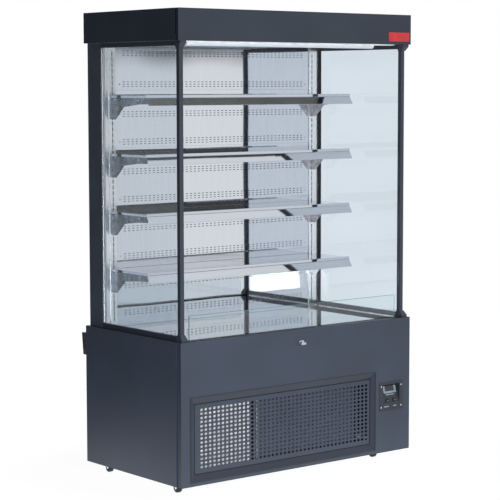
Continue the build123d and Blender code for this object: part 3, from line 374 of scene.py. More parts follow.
def roundCorners(path, radius, steps=4):
    # a polyline with each inner corner replaced by a small arc, as a folded sheet has
    out = [path[0]]
    for before, corner, after in zip(path, path[1:], path[2:]):
        a, c, b = Vector(before), Vector(corner), Vector(after)
        u, v = (a - c), (b - c)
        reach = min(radius / math.tan(max(u.angle(v), 0.05) / 2), u.length * 0.48, v.length * 0.48)
        start, end = c + u.normalized() * reach, c + v.normalized() * reach
        for i in range(steps + 1):
            t = i / steps
            out.append(tuple((1 - t) ** 2 * start + 2 * t * (1 - t) * c + t * t * end))
    return out + [path[-1]]


def sheetPart(path, thickness, low, high, radius=1.6, steps=4, along="x"):
    # folded sheet: a line in two directions, its thickness to the left of it, drawn along the third
    line = [Vector(p) for p in roundCorners(path, radius, steps)]
    outer, inner = [], []
    for i, point in enumerate(line):
        before, after = line[max(i - 1, 0)], line[min(i + 1, len(line) - 1)]
        if i == 0 or i == len(line) - 1:
            run = (after - before).normalized()
            side = Vector((-run.y, run.x)) * thickness
        else:
            u, v = (point - before).normalized(), (after - point).normalized()
            mid = Vector((-u.y - v.y, u.x + v.x)).normalized()
            side = mid * thickness / max(0.3, mid.dot(Vector((-u.y, u.x))))
        outer.append(point)
        inner.append(point + side)
    ring = outer + inner[::-1]
    place = {"x": lambda p, t: (t, p.x, p.y), "y": lambda p, t: (p.x, t, p.y), "z": lambda p, t: (p.x, p.y, t)}[along]
    points = [place(p, low) for p in ring] + [place(p, high) for p in ring]
    count = len(ring)
    faces = [[i, (i + 1) % count, count + (i + 1) % count, count + i] for i in range(count)]
    for base in (0, count):
        for i in range(len(line) - 1):
            faces.append([base + i, base + i + 1, base + count - 2 - i, base + count - 1 - i])
    return points, faces


def latheParts(profile, middle, axis="x", steps=32):
    # a turned part: (distance along the axis, radius) pairs spun round it
    points, faces = [], []
    for along, radius in profile:
        for i in range(steps):
            turn = 2 * math.pi * i / steps
            c, s = radius * math.cos(turn), radius * math.sin(turn)
            offset = {"x": (along, c, s), "y": (c, along, s), "z": (c, s, along)}[axis]
            points.append(tuple(m + o for m, o in zip(middle, offset)))
    for ring in range(len(profile) - 1):
        for i in range(steps):
            j = (i + 1) % steps
            faces.append([ring * steps + i, ring * steps + j, (ring + 1) * steps + j, (ring + 1) * steps + i])
    faces.append([i for i in range(steps)])
    faces.append([(len(profile) - 1) * steps + i for i in range(steps)])
    return points, faces


def tubePart(route, radius, steps=10):
    # a bent tube along points
    points, faces = [], []
    line = [Vector(p) for p in route]
    side = None
    for i, point in enumerate(line):
        run = (line[min(i + 1, len(line) - 1)] - line[max(i - 1, 0)]).normalized()
        side = side or run.orthogonal().normalized()
        side = (side - run * side.dot(run)).normalized()
        other = run.cross(side)
        for k in range(steps):
            turn = 2 * math.pi * k / steps
            points.append(tuple(point + radius * (math.cos(turn) * side + math.sin(turn) * other)))
    for i in range(len(line) - 1):
        for k in range(steps):
            j = (k + 1) % steps
            faces.append([i * steps + k, i * steps + j, (i + 1) * steps + j, (i + 1) * steps + k])
    faces.append([k for k in range(steps)])
    faces.append([(len(line) - 1) * steps + k for k in range(steps)])
    return points, faces


def holeOutline(width, height, steps=12):
    # a round hole, or one with round ends where it is wider than high
    reach, radius = (width - height) / 2, height / 2
    outline = []
    for i in range(steps):
        turn = 2 * math.pi * (i + 0.5) / steps
        c = math.cos(turn)
        outline.append((radius * c + math.copysign(reach, c), radius * math.sin(turn)))
    return outline


def perforatedPart(xEdges, zEdges, yFace, thickness, hole, holed, back=True):
    # sheet in cells that face -Y: cells in holed have an opening and the rest are plain. Edges are lists of cell borders
    points, faces = [], []
    for column in range(len(xEdges) - 1):
        for row in range(len(zEdges) - 1):
            left, right, low, high = xEdges[column], xEdges[column + 1], zEdges[row], zEdges[row + 1]
            base = len(points)
            if not holed(column, row):
                for y in (yFace, yFace + thickness) if back else (yFace,):
                    start = len(points)
                    points += [(left, y, low), (right, y, low), (right, y, high), (left, y, high)]
                    faces.append([start, start + 1, start + 2, start + 3])
                continue
            mx, mz, hx, hz = (left + right) / 2, (low + high) / 2, (right - left) / 2, (high - low) / 2
            rim, count = [], len(hole)
            for x, z in hole:
                reach = min(hx / abs(x) if x else 1e9, hz / abs(z) if z else 1e9)
                rim.append((x * reach, z * reach))
            layers = (yFace, yFace + thickness) if back else (yFace,)
            for y in layers:
                start = len(points)
                points += [(mx + x, y, mz + z) for x, z in hole] + [(mx + x, y, mz + z) for x, z in rim]
                corners = len(points)
                points += [(mx + sx * hx, y, mz + sz * hz) for sx, sz in ((1, 1), (-1, 1), (-1, -1), (1, -1))]
                for i in range(count):
                    j = (i + 1) % count
                    face = [start + i, start + j, start + count + j]
                    (ax, az), (bx, bz) = rim[i], rim[j]
                    signs = ((1, 1), (-1, 1), (-1, -1), (1, -1))
                    if abs(ax - bx) > 2 * hx - 1e-6:
                        # the slot reaches so far across that its long side faces both corners of the cell
                        face += [corners + signs.index((math.copysign(1, x), math.copysign(1, az))) for x in (bx, ax)]
                    elif abs(ax - bx) > 1e-6 and abs(az - bz) > 1e-6:
                        sx, sz = (1 if max(ax, bx) > hx - 1e-6 else -1), (1 if max(az, bz) > hz - 1e-6 else -1)
                        face.append(corners + signs.index((sx, sz)))
                    faces.append(face + [start + count + i])
            inner = len(points)
            points += [(mx + x, yFace + thickness, mz + z) for x, z in hole]
            for i in range(count):
                j = (i + 1) % count
                faces.append([base + i, base + j, inner + j, inner + i])
    return points, faces


def placeRings(points, turn, middle):
    # points drawn about the origin, turned and moved into place
    return [tuple(turn @ Vector(p) + Vector(middle)) for p in points]


# ---- grille: bevelled surround and sheet with its fine perforations ----
grille = {"panel": ((-557, 405.6), (99.5, 385.2)), "field": (-533, 115.9), "face": -340.8, "sheet": 1.5,
          # black strips down the flange's sides, painted shadow of the recess's edge, and black strips behind the gap
          # round the sheet, painted shadow in the gap: across, up and the face's depth
          "flangeShadowStrips": ((-587.4, 428.4), (70, 416), -355.2), "shadowGap": ((-560, 409.5), (97, 389.5), -337),
          "holes": (42, 15), "pitch": (22.12, 16.95), "hole": (14.2, 10.8),
          # rectangles from the flange round to the back: left, right, low, high, depth
          "surround": [(-591, 432, 66, 420, -354), (-591, 432, 66, 420, -355), (-587, 428, 70, 416, -355),
                       (-560, 409.5, 97, 389.5, -341.6), (-560, 409.5, 97, 389.5, -332), (-549, 398.5, 108, 378.5, -332),
                       (-549, 398.5, 108, 378.5, -331), (-561.2, 410.7, 95.8, 390.7, -331),
                       (-561.2, 410.7, 95.8, 390.7, -341), (-588, 429, 69, 417, -354)]}


def buildGrille(g):
    columns, rows = g["holes"]
    (left, right), (low, high) = g["panel"]
    xEdges = [left] + [g["field"][0] + i * g["pitch"][0] for i in range(columns + 1)] + [right]
    zEdges = [low] + [g["field"][1] + i * g["pitch"][1] for i in range(rows + 1)] + [high]
    part = perforatedPart(xEdges, zEdges, g["face"], g["sheet"], holeOutline(*g["hole"], 16),
                          lambda c, r: 0 < c <= columns and 0 < r <= rows)
    piece = finishMesh("grille_perforated", *part, "basePaint", "cabinet", "grey_paint")
    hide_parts("grille_panel")
    points, faces = [], []
    for x0, x1, z0, z1, y in g["surround"]:
        points += [(x0, y, z0), (x1, y, z0), (x1, y, z1), (x0, y, z1)]
    count = len(points)
    for base in range(0, count, 4):
        for i in range(4):
            j = (i + 1) % 4
            faces.append([base + i, base + j, (base + 4 + j) % count, (base + 4 + i) % count])
    piece = finishMesh("grille_surround", points, faces, "surroundShadedPaint", "cabinet", "grey_paint", 20)
    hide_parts("grille_frame")
    # painted shadow: black strips down the flange's sides and behind the gap round the sheet
    (ax, bx), (az, bz), y = g["flangeShadowStrips"]
    parts = [boxPart((ax, y, az), (ax + 2.6, y + 3, bz)), boxPart((bx - 2.6, y, az), (bx, y + 3, bz))]
    (ax, bx), (az, bz), y = g["shadowGap"]
    parts += [boxPart((ax, y, az), (bx, y + 1, az + 5)), boxPart((ax, y, bz - 5), (bx, y + 1, bz)),
              boxPart((ax, y, az), (ax + 5, y + 1, bz)), boxPart((bx - 5, y, az), (bx, y + 1, bz))]
    finishMesh("grille_painted_shadow_strips", *joinParts(parts), "blackPlastic", "cabinet", "grey_paint")


buildGrille(grille)
print("grille done")

# ---- finned condenser seen through the grille ----
condenser = {"x": (-542, -238), "y": (-309, -269), "z": (92, 372), "foot": 55.5, "plate": 2, "pitch": 3.04, "fin": 0.9,
             "rowsY": (-299, -279), "firstTube": 106, "tubePitch": 25.4, "tubes": 11, "tube": 4.8}


def buildCondenser(c):
    (x0, x1), (y0, y1), (z0, z1) = c["x"], c["y"], c["z"]
    fins, plates, tubes = [], [], []
    count = int((x1 - x0 - 2 * c["plate"]) / c["pitch"])
    for i in range(count):
        x = x0 + c["plate"] + (i + 0.5) * (x1 - x0 - 2 * c["plate"]) / count
        # each fin's front edge is rippled, so neighbours stand a little forward or back
        fins.append(boxPart((x - c["fin"] / 2, y0 + 0.4 * (i % 2), z0), (x + c["fin"] / 2, y1, z1)))
    for x in (x0, x1 - c["plate"]):
        plates.append(boxPart((x, y0, c["foot"]), (x + c["plate"], y1, z1)))
    for row, y in enumerate(c["rowsY"]):
        for i in range(c["tubes"]):
            z = c["firstTube"] + i * c["tubePitch"]
            tubes.append(latheParts([(x0 - 1, c["tube"]), (x1 + 1, c["tube"])], (0, y, z), "x", 10))
            if i % 2 == row:
                continue
            if i + 1 < c["tubes"]:
                half = c["tubePitch"] / 2
                bend = [(x0 + 1, y, z)] + [(x0 - 4 - half * math.sin(math.pi * k / 8), y, z + half - half * math.cos(math.pi * k / 8))
                                           for k in range(9)] + [(x0 + 1, y, z + c["tubePitch"])]
                tubes.append(tubePart(bend, c["tube"], 10))
    piece = finishMesh("condenser_fins", *joinParts(fins), "fins", "cabinet", "fins")
    other = finishMesh("condenser_tubes", *joinParts(tubes), "copper", "cabinet", "fins")
    frames = finishMesh("condenser_end_plates", *joinParts(plates), "zinc", "cabinet", "galvanised")
    for part in (piece, other, frames):
        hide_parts("condenser_coil")


buildCondenser(condenser)
# a white strip down the baffle's left edge: painted highlight on its folded edge
baffleEdge = {"x": (-222.6, -216), "y": (-324.7, -324.1), "z": (56, 401.5)}
finishMesh("baffle_edge_painted_highlight", *boxPart(*zip(baffleEdge["x"], baffleEdge["y"], baffleEdge["z"])), "whitePlastic", "cabinet", "galvanised")
print("condenser done")

# ---- mirror back panels with their bands of slots ----
backPanels = {"top": 1852, "seams": [1655, 1410, 1165, 920, 675], "bottom": 623, "gap": 0.5, "reach": 539.5,
              "face": 229, "sheet": 1.5, "bands": [1812, 1680, 1553, 1435, 1308, 1190, 1063, 945, 818, 700],
              "rowPitch": 10, "slots": 46, "pitch": 22, "slot": (12, 3.0)}


def buildBackPanels(p):
    xEdges = [-p["reach"]] + [(i - p["slots"] / 2) * p["pitch"] for i in range(p["slots"] + 1)] + [p["reach"]]
    hole = holeOutline(*p["slot"], 8)
    edges = [p["top"]] + p["seams"] + [p["bottom"]]
    parts = []
    for top, bottom in zip(edges, edges[1:]):
        zEdges, slotted = [bottom + p["gap"]], []
        for band in sorted(b for b in p["bands"] if bottom < b < top):
            for row in range(-1, 3):
                zEdges.append(band + (row - 0.5) * p["rowPitch"])
            slotted += [len(zEdges) - 4, len(zEdges) - 3, len(zEdges) - 2]
        zEdges.append(top)
        parts.append(perforatedPart(xEdges, zEdges, p["face"], p["sheet"], hole,
                                    lambda c, r: 0 < c <= p["slots"] and r in slotted))
    piece = finishMesh("back_panels_slotted", *joinParts(parts), "mirrorPanel", "cabinet", "polished_steel")
    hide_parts("back_panels")


buildBackPanels(backPanels)
print("back panels done")

# ---- slotted standards with folded pilasters ----
standards = {"outer": 604.7, "fold": 15, "channel": (573, 540), "proud": 4, "face": 229, "sheet": 1.5,
             "slotX": 557, "slot": (4.6, 18.4), "pitch": 24.6, "firstSlot": 864.5, "low": 643.5, "high": 1852}


def buildStandards(s):
    face, front = s["face"], s["face"] - s["proud"]
    outside = [(s["outer"], face - s["fold"]), (s["outer"], face), (s["channel"][0], face), (s["channel"][0], front)]
    inside = [(s["channel"][1], front), (s["channel"][1], face + s["sheet"])]
    slotHalf = s["slot"][0] / 2
    parts = []
    turn = [(s["channel"][0], front), (s["slotX"] + slotHalf, front)]
    parts.append(sheetPart([(-x, y) for x, y in outside + turn[1:]], s["sheet"], s["low"], s["high"], 0.8, 3, "z"))
    parts.append(sheetPart([(-x, y) for x, y in [(s["slotX"] - slotHalf, front)] + inside], s["sheet"],
                           s["low"], s["high"], 0.8, 3, "z"))
    z = s["firstSlot"]
    while z - s["pitch"] > s["low"] + 12:
        z -= s["pitch"]
    low = s["low"]
    while z + s["slot"][1] < s["high"] - 12:
        parts.append(boxPart((-s["slotX"] - slotHalf, front, low), (-s["slotX"] + slotHalf, front + s["sheet"], z)))
        low = z + s["slot"][1]
        z += s["pitch"]
    parts.append(boxPart((-s["slotX"] - slotHalf, front, low), (-s["slotX"] + slotHalf, front + s["sheet"], s["high"])))
    points, faces = joinParts(parts)
    both = joinParts([(points, faces), ([(-x, y, z) for x, y, z in points], faces)])
    piece = finishMesh("standards_slotted", *both, "mirrorStandard", "cabinet", "polished_steel")
    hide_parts("shelf_standards")
    # black strips over the inner face of each pilaster's fold: painted dark reflection
    inner = s["outer"] - s["sheet"]
    strips = [boxPart((x0, face - s["fold"] + 0.5, s["low"] + 1), (x1, face - 0.6, s["high"] - 1))
              for x0, x1 in ((inner - 0.9, inner - 0.05), (0.05 - inner, 0.9 - inner))]
    finishMesh("standard_fold_painted_reflection", *joinParts(strips), "blackPlastic", "cabinet", "black_plastic")


buildStandards(standards)
print("standards done")

# ---- shelves with rounded folds ----
shelves = {"tops": [894.5, 1140.5, 1386.5, 1632.5], "reach": 563, "front": -30, "back": 224, "sheet": 1.2,
           "fold": 20, "rise": 3, "lip": 13, "drop": 32, "splays": (19.4, 19.4, 18.6, 20.7), "notch": 557, "rivets": [(-22, -16), (-190, -19)]}


def buildShelf(s, level):
    top = s["tops"][level - 1]
    reach, front = s["reach"], s["front"]
    deck = [(front + 1.2, top - s["fold"]), (front + 1.2, top), (s["back"], top), (s["back"], top - s["fold"])]
    deckPart = sheetPart(deck, -s["sheet"], -reach, reach, 1.2)
    lipLow = top + s["rise"] - s["lip"]
    splay = s["splays"][level - 1]
    # the groove under the lip holds the price cards
    strip = [(front + 6, top + s["rise"]), (front, top + s["rise"]), (front, lipLow + 1.4), (front + 1.6, lipLow + 0.6),
             (front - splay * 0.6 / s["drop"], lipLow - 0.6),
             (front - splay, lipLow - s["drop"]), (front - splay + 5, lipLow - s["drop"])]
    stripPart = sheetPart(strip, s["sheet"], -reach, reach, 1.1)
    ends = [boxPart((x, front + 3, top - 10), (x + s["sheet"], s["back"] - 1, top - 0.8))
            for x in (-reach, reach - s["sheet"])]
    piece = finishMesh(f"shelf_{level}_sheet", *joinParts([deckPart, stripPart, *ends]), "mirrorShelf",
                       f"shelf_{level}", "polished_steel")
    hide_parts(f"shelf_{level}_deck")
    rivet = [(0, 0.1), (0, 4.2), (0.8, 4.0), (1.6, 2.8), (2, 0.1)]
    heads = []
    for side in (-1, 1):
        for back, drop in s["rivets"]:
            for out in (-1, 1):
                x = side * s["notch"] + out
                heads.append(latheParts([(out * a, r) for a, r in rivet], (x, 224 + back, top - 1.2 + drop), steps=14))
    finishMesh(f"shelf_{level}_rivets", *joinParts(heads), "screwZinc", f"shelf_{level}", "polished_steel")


for level in range(1, 5):
    buildShelf(shelves, level)
print("shelves done")

# ---- low front glass with ground edges ----
frontGlass = {"reach": 569, "y": (-324, -318), "z": (637, 748), "arris": 1}


def buildFrontGlass(g):
    a = g["arris"]
    (y0, y1), (z0, z1), reach = g["y"], g["z"], g["reach"]
    section = [(y0 + a, z0), (y1 - a, z0), (y1, z0 + a), (y1, z1 - a), (y1 - a, z1), (y0 + a, z1), (y0, z1 - a), (y0, z0 + a)]
    points = [(-reach, y, z) for y, z in section] + [(reach, y, z) for y, z in section]
    faces = [([i, (i + 1) % 8, 8 + (i + 1) % 8, 8 + i], 0 if i in (2, 6) else 1) for i in range(8)]
    faces += [(list(range(8)), 1), (list(range(8, 16)), 1)]
    piece = finishMesh("front_glass_ground", points, faces, "frontGlass", "cabinet", "glass", 10, ("glassEdge",))
    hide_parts("front_glass")


buildFrontGlass(frontGlass)

# ---- extruded posts with their rounded corners ----
posts = {"x": (596.5, 616.5), "y": (-328, -308), "z": (646, 1852), "radius": 1.6}


def buildPosts(p):
    (x0, x1), (y0, y1), (z0, z1), r = p["x"], p["y"], p["z"], p["radius"]
    parts = []
    for side in (-1, 1):
        ring = []
        for cx, cy, start in ((x1 - r, y1 - r, 0), (x0 + r, y1 - r, 90), (x0 + r, y0 + r, 180), (x1 - r, y0 + r, 270)):
            for step in range(5):
                turn = math.radians(start + step * 22.5)
                ring.append((side * (cx + r * math.cos(turn)), cy + r * math.sin(turn)))
        count = len(ring)
        points = [(x, y, z) for z in (z0, z1) for x, y in ring]
        faces = [[i, (i + 1) % count, count + (i + 1) % count, count + i] for i in range(count)]
        parts.append((points, faces + [list(range(count)), list(range(count, 2 * count))]))
    piece = finishMesh("posts_extruded", *joinParts(parts), "framePaint", "cabinet", "black_frame", 30)
    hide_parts("front_posts")


buildPosts(posts)

# ---- castor wheels ----
castors = {"x": 547, "frontY": -226, "backY": 273, "trail": 16, "radius": 20, "width": 18, "hub": 12.5}


def buildWheel(c, corner):
    x = c["x"] if corner.endswith("right") else -c["x"]
    y = (c["frontY"] if corner.startswith("front") else c["backY"]) + c["trail"]
    half, radius, hub = c["width"] / 2, c["radius"], c["hub"]
    tread = [(-half, hub), (-half, radius - 2.2), (-half + 0.7, radius - 0.7), (-half + 2.2, radius),
             (half - 2.2, radius), (half - 0.7, radius - 0.7), (half, radius - 2.2), (half, hub)]
    core = [(-half - 0.2, 3.2), (-half - 0.2, 5.5), (-half + 0.6, 6.2), (-half + 1.2, 9.5), (-half + 0.3, 10.6), (-half + 0.3, hub + 0.2),
            (half - 0.3, hub + 0.2), (half - 0.3, 10.6), (half - 1.2, 9.5), (half - 0.6, 6.2), (half + 0.2, 5.5), (half + 0.2, 3.2)]
    tyre = latheParts(tread, (x, y, radius), steps=48)
    hubPart = latheParts(core, (x, y, radius), steps=32)
    points, faces = joinParts([tyre, (hubPart[0], [(f, 1) for f in hubPart[1]])])
    piece = finishMesh(f"castor_wheel_turned_{corner}", points, faces, "tyre", f"wheel_{corner}", "tread", 30, ("hubZinc",))
    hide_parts(f"castor_wheel_{corner}")


for corner in ("front_left", "front_right", "rear_left", "rear_right"):
    buildWheel(castors, corner)
print("castors done")

# ---- screws, plates and marks ----
screws = {"panelX": 518, "panelZ": (1680, 1553, 1435, 1308, 1190, 1063, 945, 818), "controlX": (462.95, 582.45),
          "controlZ": (255.55, 348.05), "rearX": (-606, -200, 200, 606), "rearY": 332, "rearZ": (72, 500)}


def screwHead(x, y, z, radius=3.4, rise=1.6):
    # pan head with a cross recess suggested by a sunk middle, facing -Y
    profile = [(0, radius), (-rise * 0.4, radius), (-rise * 0.8, radius * 0.8), (-rise, radius * 0.45), (-rise * 0.55, radius * 0.3)]
    return latheParts(profile, (x, y, z), "y", 18)


def buildScrews(s):
    heads = [screwHead(x, 228.9, z, 3.6, 1.8) for z in s["panelZ"] for x in (-s["panelX"], s["panelX"])]
    finishMesh("panel_fixings", *joinParts(heads), "screwZinc", "cabinet", "polished_steel")
    rear = [screwHead(x, -s["rearY"], z, 5, 2.2) for z in s["rearZ"] for x in s["rearX"]]
    rear = [([(x, -y, z) for x, y, z in points], faces) for points, faces in rear]
    finishMesh("rear_panel_screws", *joinParts(rear), "screwZinc", "cabinet", "grey_paint")
    heads = [screwHead(x, -355.4, z, 3.6, 1.6) for x in s["controlX"] for z in s["controlZ"]]
    piece = finishMesh("control_plate_screws", *joinParts(heads), "screwZinc", "cabinet", "chrome")
    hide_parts("panel_screws")


buildScrews(screws)

control = {"x": 522.7, "face": -355.5, "foot": 268, "slope": math.atan2(23.5, 87.5), "bezel": (38.5, 46.5, 81.5),
           "bars": (12, 9), "lens": (26, 56, 79), "rise": 4, "strip": (-22, 27, 38.5, 43), "switchX": 21.5, "switchUp": 15,
           "labels": [(479, 509, 254.7, 259.3), (535, 554, 255, 259.4)]}


def buildControlMarks(c):
    lean, tall = math.sin(c["slope"]), math.cos(c["slope"])

    def slab(x0, x1, up0, up1, out0, out1):
        # a thin plate on the pocket's sloping floor
        points, faces = boxPart((x0, up0, out0), (x1, up1, out1))
        place = [(c["x"] + x, c["face"] + up * lean - out * tall, c["foot"] + up * tall + out * lean) for x, up, out in points]
        return place, faces

    half, low, high = c["bezel"]
    side, foot = c["bars"]
    out = c["rise"]
    # the bezel is drawn as a U without its top bar, so the dark lens runs up to its top: painted shade under the
    # pocket's top
    frameParts = [slab(-half + 0.6, -half + side, low + 0.6, high - 2, out - 0.4, out + 0.5),
                  slab(half - side, half - 0.6, low + 0.6, high - 2, out - 0.4, out + 0.5),
                  slab(-half + side, half - side, low + 0.6, low + foot, out - 0.4, out + 0.5),
                  slab(*c["strip"], -0.2, 0.4)]
    frameParts += [boxPart((x0, c["face"] - 0.25, z0), (x1, c["face"] + 0.3, z1)) for x0, x1, z0, z1 in c["labels"]]
    finishMesh("control_marks", *joinParts(frameParts), "printedGrey", "cabinet", "black_plastic")
    reach, up0, up1 = c["lens"]
    finishMesh("display_lens", *slab(-reach, reach, up0, up1, out - 0.6, out + 0.35), "displayLens", "cabinet", "black_plastic")
    for sign, body in ((-1, "switch_power"), (1, "switch_lamp")):
        x = sign * c["switchX"]
        finishMesh(f"{body}_mark", *slab(x + 0.5, x + 5, 11.5, 15.5, 0.6, 2.6), "printedGrey", body, "switch_black")


buildControlMarks(control)

# ---- pale silicone beads at the deck's ends, their colour also a painted highlight along the deck's edges, and bare sheared edges at the corners ----
beads = {"x": (596.6, 599.2), "y": (-287, 223), "z": (643, 646.6), "hemX": (630.6, 634.8), "hemY": (-353.8, -322), "hemZ": 646,
         "canopyY": (-347.6, -327.2), "canopyZ": 1852}


def buildBeads(b):
    parts, hems = [], []
    for side in (-1, 1):
        (x0, x1), (z0, z1) = b["x"], b["z"]
        section = [(x1, z0), (x1, z1), (x1 - 0.8, z1 - 0.3), (x1 - 1.9, z0 + 1.5), (x0, z0 + 0.3), (x0, z0)]
        points = [(side * x, y, z) for y in b["y"] for x, z in section]
        faces = [[i, (i + 1) % 6, 6 + (i + 1) % 6, 6 + i] for i in range(6)] + [list(range(6)), list(range(6, 12))]
        parts.append((points, faces))
        ax, bx = sorted((side * b["hemX"][0], side * b["hemX"][1]))
        hems.append(boxPart((ax, b["hemY"][0], b["hemZ"] - 0.6), (bx, b["hemY"][1], b["hemZ"] + 0.3)))
        hems.append(boxPart((ax, b["canopyY"][0], b["canopyZ"] - 0.4), (bx, b["canopyY"][1], b["canopyZ"] + 0.5)))
    # pale beads: their colour is also painted highlight along the deck's ends
    finishMesh("deck_end_beads_highlight", *joinParts(parts), "seal", "cabinet", "white_plastic")
    finishMesh("sheared_hem_edges", *joinParts(hems), "rawEdge", "cabinet", "grey_paint")


buildBeads(beads)

badge = {"x": (502, 625), "z": (1864, 1903), "y": -348, "rise": 1.6}


def buildBadge(b):
    (x0, x1), (z0, z1), y = b["x"], b["z"], b["y"]
    points, faces = boxPart((x0, y - b["rise"], z0), (x1, y, z1))
    piece = finishMesh("canopy_plate", points, faces, "badge", "cabinet", "grey_paint")
    soften = piece.modifiers.new("edges", "BEVEL")
    soften.width = 0.0009
    soften.segments = 3


buildBadge(badge)

# ---- egg-crate air outlet ----
outlet = {"reach": 586, "y": (-296, -250), "z": (1848, 1868), "cell": 14, "wall": 0.8, "frame": 1.6}


def buildOutlet(o):
    (y0, y1), (z0, z1), reach = o["y"], o["z"], o["reach"]
    parts = [boxPart((-reach, y0, z0), (reach, y0 + o["frame"], z1)), boxPart((-reach, y1 - o["frame"], z0), (reach, y1, z1)),
             boxPart((-reach, y0, z0), (-reach + o["frame"], y1, z1)), boxPart((reach - o["frame"], y0, z0), (reach, y1, z1))]
    count = round(2 * reach / o["cell"])
    for i in range(1, count):
        x = -reach + 2 * reach * i / count
        parts.append(boxPart((x - o["wall"] / 2, y0, z0 + 1), (x + o["wall"] / 2, y1, z1)))
    for i in (1, 2):
        y = y0 + (y1 - y0) * i / 3
        parts.append(boxPart((-reach, y - o["wall"] / 2, z0 + 1), (reach, y + o["wall"] / 2, z1)))
    piece = finishMesh("air_outlet_grid", *joinParts(parts), "whitePlastic", "cabinet", "white_plastic")
    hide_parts("air_outlet")


buildOutlet(outlet)
print("trim done")

# ---- floor, world and lamps ----
studio = {"floorThroughGlass": "#D9DFE6", "duskBand": (0.015, 0.09), "duskLight": 0.07, "floorRadius": 5.5, "shadowShare": 0.1, "plinth": (0.62, 0.34, 0), "poolEdge": (0.15, 1.2), "frontEdge": (0.2, 1.2),
          "frontAim": (0.5, -0.87, 0), "bounce": 1.4, "aheadLight": 0.58, "paper": "#F2F3F4", "dim": "#2A2C30", "seenThroughGlass": ("#F1F6FB", 0.98)}


def buildFloor(s):
    mesh = bpy.data.meshes.new("floor")
    ring = [(s["floorRadius"] * math.cos(2 * math.pi * i / 96), s["floorRadius"] * math.sin(2 * math.pi * i / 96), 0)
            for i in range(96)]
    mesh.from_pydata(ring, [], [list(range(96))])
    material, tree = startMaterial("seamlessBackgroundPaper")
    place = addNode(tree, "TexCoord")
    # for bounce and reflection rays the paper glows with a painted pool of light round the fridge's foot and in front
    # of it, and is dark where the studio behind is unlit
    far = addNode(tree, "VectorMath", {"operation": "ABSOLUTE"}, {0: (place, "Object")})
    far = addNode(tree, "VectorMath", {"operation": "SUBTRACT", 1: s["plinth"]}, {0: (far, 0)})
    far = addNode(tree, "VectorMath", {"operation": "MAXIMUM", 1: (0, 0, 0)}, {0: (far, 0)})
    far = addNode(tree, "VectorMath", {"operation": "LENGTH"}, {0: (far, 0)})
    pool = addNode(tree, "MapRange", {"interpolation_type": "SMOOTHSTEP", "From Min": s["poolEdge"][0], "From Max": s["poolEdge"][1],
                                      "To Min": 1, "To Max": 0}, {"Value": (far, "Value")})
    ahead = addNode(tree, "VectorMath", {"operation": "DOT_PRODUCT", 1: s["frontAim"]}, {0: (place, "Object")})
    ahead = addNode(tree, "MapRange", {"interpolation_type": "SMOOTHSTEP", "From Min": s["frontEdge"][0], "From Max": s["frontEdge"][1],
                                       "To Min": 0, "To Max": s["aheadLight"]}, {"Value": (ahead, "Value")})
    lit = addNode(tree, "Math", {"operation": "MAXIMUM"}, {0: (pool, 0), 1: (ahead, 0)})
    tone = addNode(tree, "ValToRGB", {"stops": [(0, s["dim"]), (1, s["paper"])]}, {"Fac": (lit, 0)})
    paper = addNode(tree, "BsdfDiffuse", {"Color": linear(s["paper"])})
    glow = addNode(tree, "Emission", {"Color": (1, 1, 1, 1), "Strength": 1.05})
    shared = addNode(tree, "Math", {"operation": "MULTIPLY", 1: s["shadowShare"]}, {0: (pool, 0)})
    seen = addNode(tree, "MixShader", links={0: (shared, 0), 1: (glow, 0), 2: (paper, 0)})
    bounce = addNode(tree, "Emission", {"Strength": s["bounce"]}, {"Color": (tone, "Color")})
    path = addNode(tree, "LightPath")
    tinted = addNode(tree, "Emission", {"Color": linear(s["floorThroughGlass"]), "Strength": 1})
    shader = addNode(tree, "MixShader", links={0: (path, "Is Transmission Ray"), 1: (bounce, 0), 2: (tinted, 0)})
    shader = addNode(tree, "MixShader", links={0: (path, "Is Camera Ray"), 1: (shader, 0), 2: (seen, 0)})
    closeMaterial(tree, shader)
    mesh.materials.append(material)
    floor = bpy.data.objects.new("floor", mesh)
    scene.collection.objects.link(floor)


buildFloor(studio)

# each soft light: direction it comes from, where its edge starts and ends (cosines), and its strength
softLights = [((0.6, -0.75, 0.2), 0.3, 0.75, 0.87), ((0.42, -0.9, -0.1), 0.9, 0.985, 0.13), ((-0.5, -0.86, 0.05), 0.8, 0.95, 0.8), ((0.1, -0.1, 1), 0.55, 0.95, 0.35),
              ((0.4, 0.92, 0.1), 0.8, 0.97, 1.5)]
studioFill = 0.08


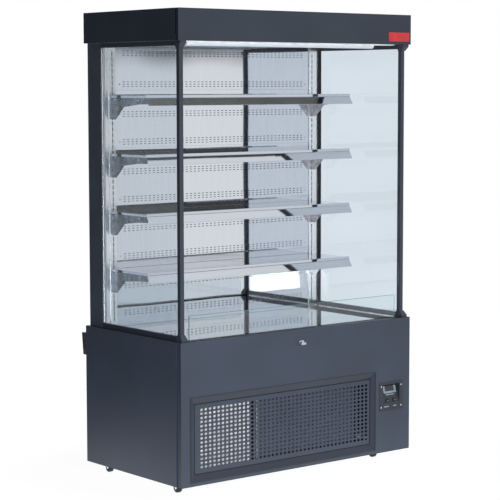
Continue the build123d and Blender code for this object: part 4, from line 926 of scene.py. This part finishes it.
def buildWorld(s):
    world = bpy.data.worlds.new("studio")
    scene.world = world
    world.use_nodes = True
    tree = world.node_tree
    tree.nodes.clear()
    place = addNode(tree, "TexCoord")
    total = None
    for direction, start, end, strength in softLights:
        aim = Vector(direction).normalized()
        dot = addNode(tree, "VectorMath", {"operation": "DOT_PRODUCT", 1: aim}, {0: (place, "Generated")})
        glow = addNode(tree, "MapRange", {"interpolation_type": "SMOOTHSTEP", "From Min": start, "From Max": end,
                                          "To Min": 0 if total else studioFill, "To Max": strength}, {"Value": (dot, "Value")})
        total = addNode(tree, "Math", {"operation": "ADD"}, {0: (glow, 0), 1: (total, 0)}) if total else glow
    # an unlit strip of studio wall just over the horizon, which the shelf decks reflect
    axes = addNode(tree, "SeparateXYZ", links={0: (place, "Generated")})
    for edge, key in ((s["duskBand"][0], "To Max"), (s["duskBand"][1], "To Min")):
        other = {"To Max": "To Min", "To Min": "To Max"}[key]
        side = addNode(tree, "MapRange", {"From Min": edge - 0.008, "From Max": edge + 0.008, key: 1, other: 0}, {"Value": (axes, "Z")})
        dusk = addNode(tree, "Math", {"operation": "MULTIPLY"}, {0: (side, 0), 1: (dusk, 0)}) if key == "To Min" else side
    dimmed = addNode(tree, "MapRange", {"To Min": 1, "To Max": s["duskLight"]}, {"Value": (dusk, 0)})
    total = addNode(tree, "Math", {"operation": "MULTIPLY"}, {0: (total, 0), 1: (dimmed, 0)})
    studioLight = addNode(tree, "Background", {"Color": linear("#F9FBFD")}, {"Strength": (total, 0)})
    white = addNode(tree, "Background", {"Color": (1, 1, 1, 1), "Strength": 1})
    colour, strength = s["seenThroughGlass"]
    tinted = addNode(tree, "Background", {"Color": linear(colour), "Strength": strength})
    path = addNode(tree, "LightPath")
    shader = addNode(tree, "MixShader", links={0: (path, "Is Transmission Ray"), 1: (studioLight, 0), 2: (tinted, 0)})
    shader = addNode(tree, "MixShader", links={0: (path, "Is Camera Ray"), 1: (shader, 0), 2: (white, 0)})
    addNode(tree, "OutputWorld", links={"Surface": (shader, 0)})


buildWorld(studio)

lamps = [
    # name, kind, place, aimed at, size, power (watts, or watts on a square metre for a sun), and the pieces it is flagged on to
    ("keySoftbox", "AREA", (-1.6, -4.6, 1.5), (0, -0.3, 0.8), (0.9, 0.9), 82, ()),
    ("baseFill", "AREA", (-1.3, -2.6, 0.25), (-0.5, -0.35, 0.25), (0.6, 0.4), 14, ()),
    ("lowFill", "AREA", (-3.2, -1.7, 0.4), (-0.63, 0, 0.15), (0.8, 0.5), 26, ()),
    ("coilSnoot", "SUN", (-0.7, -4.4, 1.1), (-0.4, -0.3, 0.24), (0.02, 0.02), 7,
     ("condenser_fins", "condenser_end_plates", "condenser_tubes")),
]


def addLamps():
    for name, kind, place, target, size, watts, lit in lamps:
        data = bpy.data.lights.new(name, kind)
        if kind == "SUN":
            data.angle = size[0]
        else:
            data.shape = "RECTANGLE"
            data.size, data.size_y = size
        data.energy = watts
        lamp = bpy.data.objects.new(name, data)
        lamp.location = place
        lamp.rotation_euler = (Vector(target) - Vector(place)).to_track_quat("-Z", "Y").to_euler()
        lamp.visible_glossy = bool(lit)     # a lamp for all pieces would stand as a square in every mirror panel
        scene.collection.objects.link(lamp)
        if lit:
            group = bpy.data.collections.new(name + "Group")
            for piece in lit:
                group.objects.link(bpy.data.objects[piece])
            lamp.light_linking.receiver_collection = group


addLamps()
print("stage done")

bpy.context.view_layer.update()
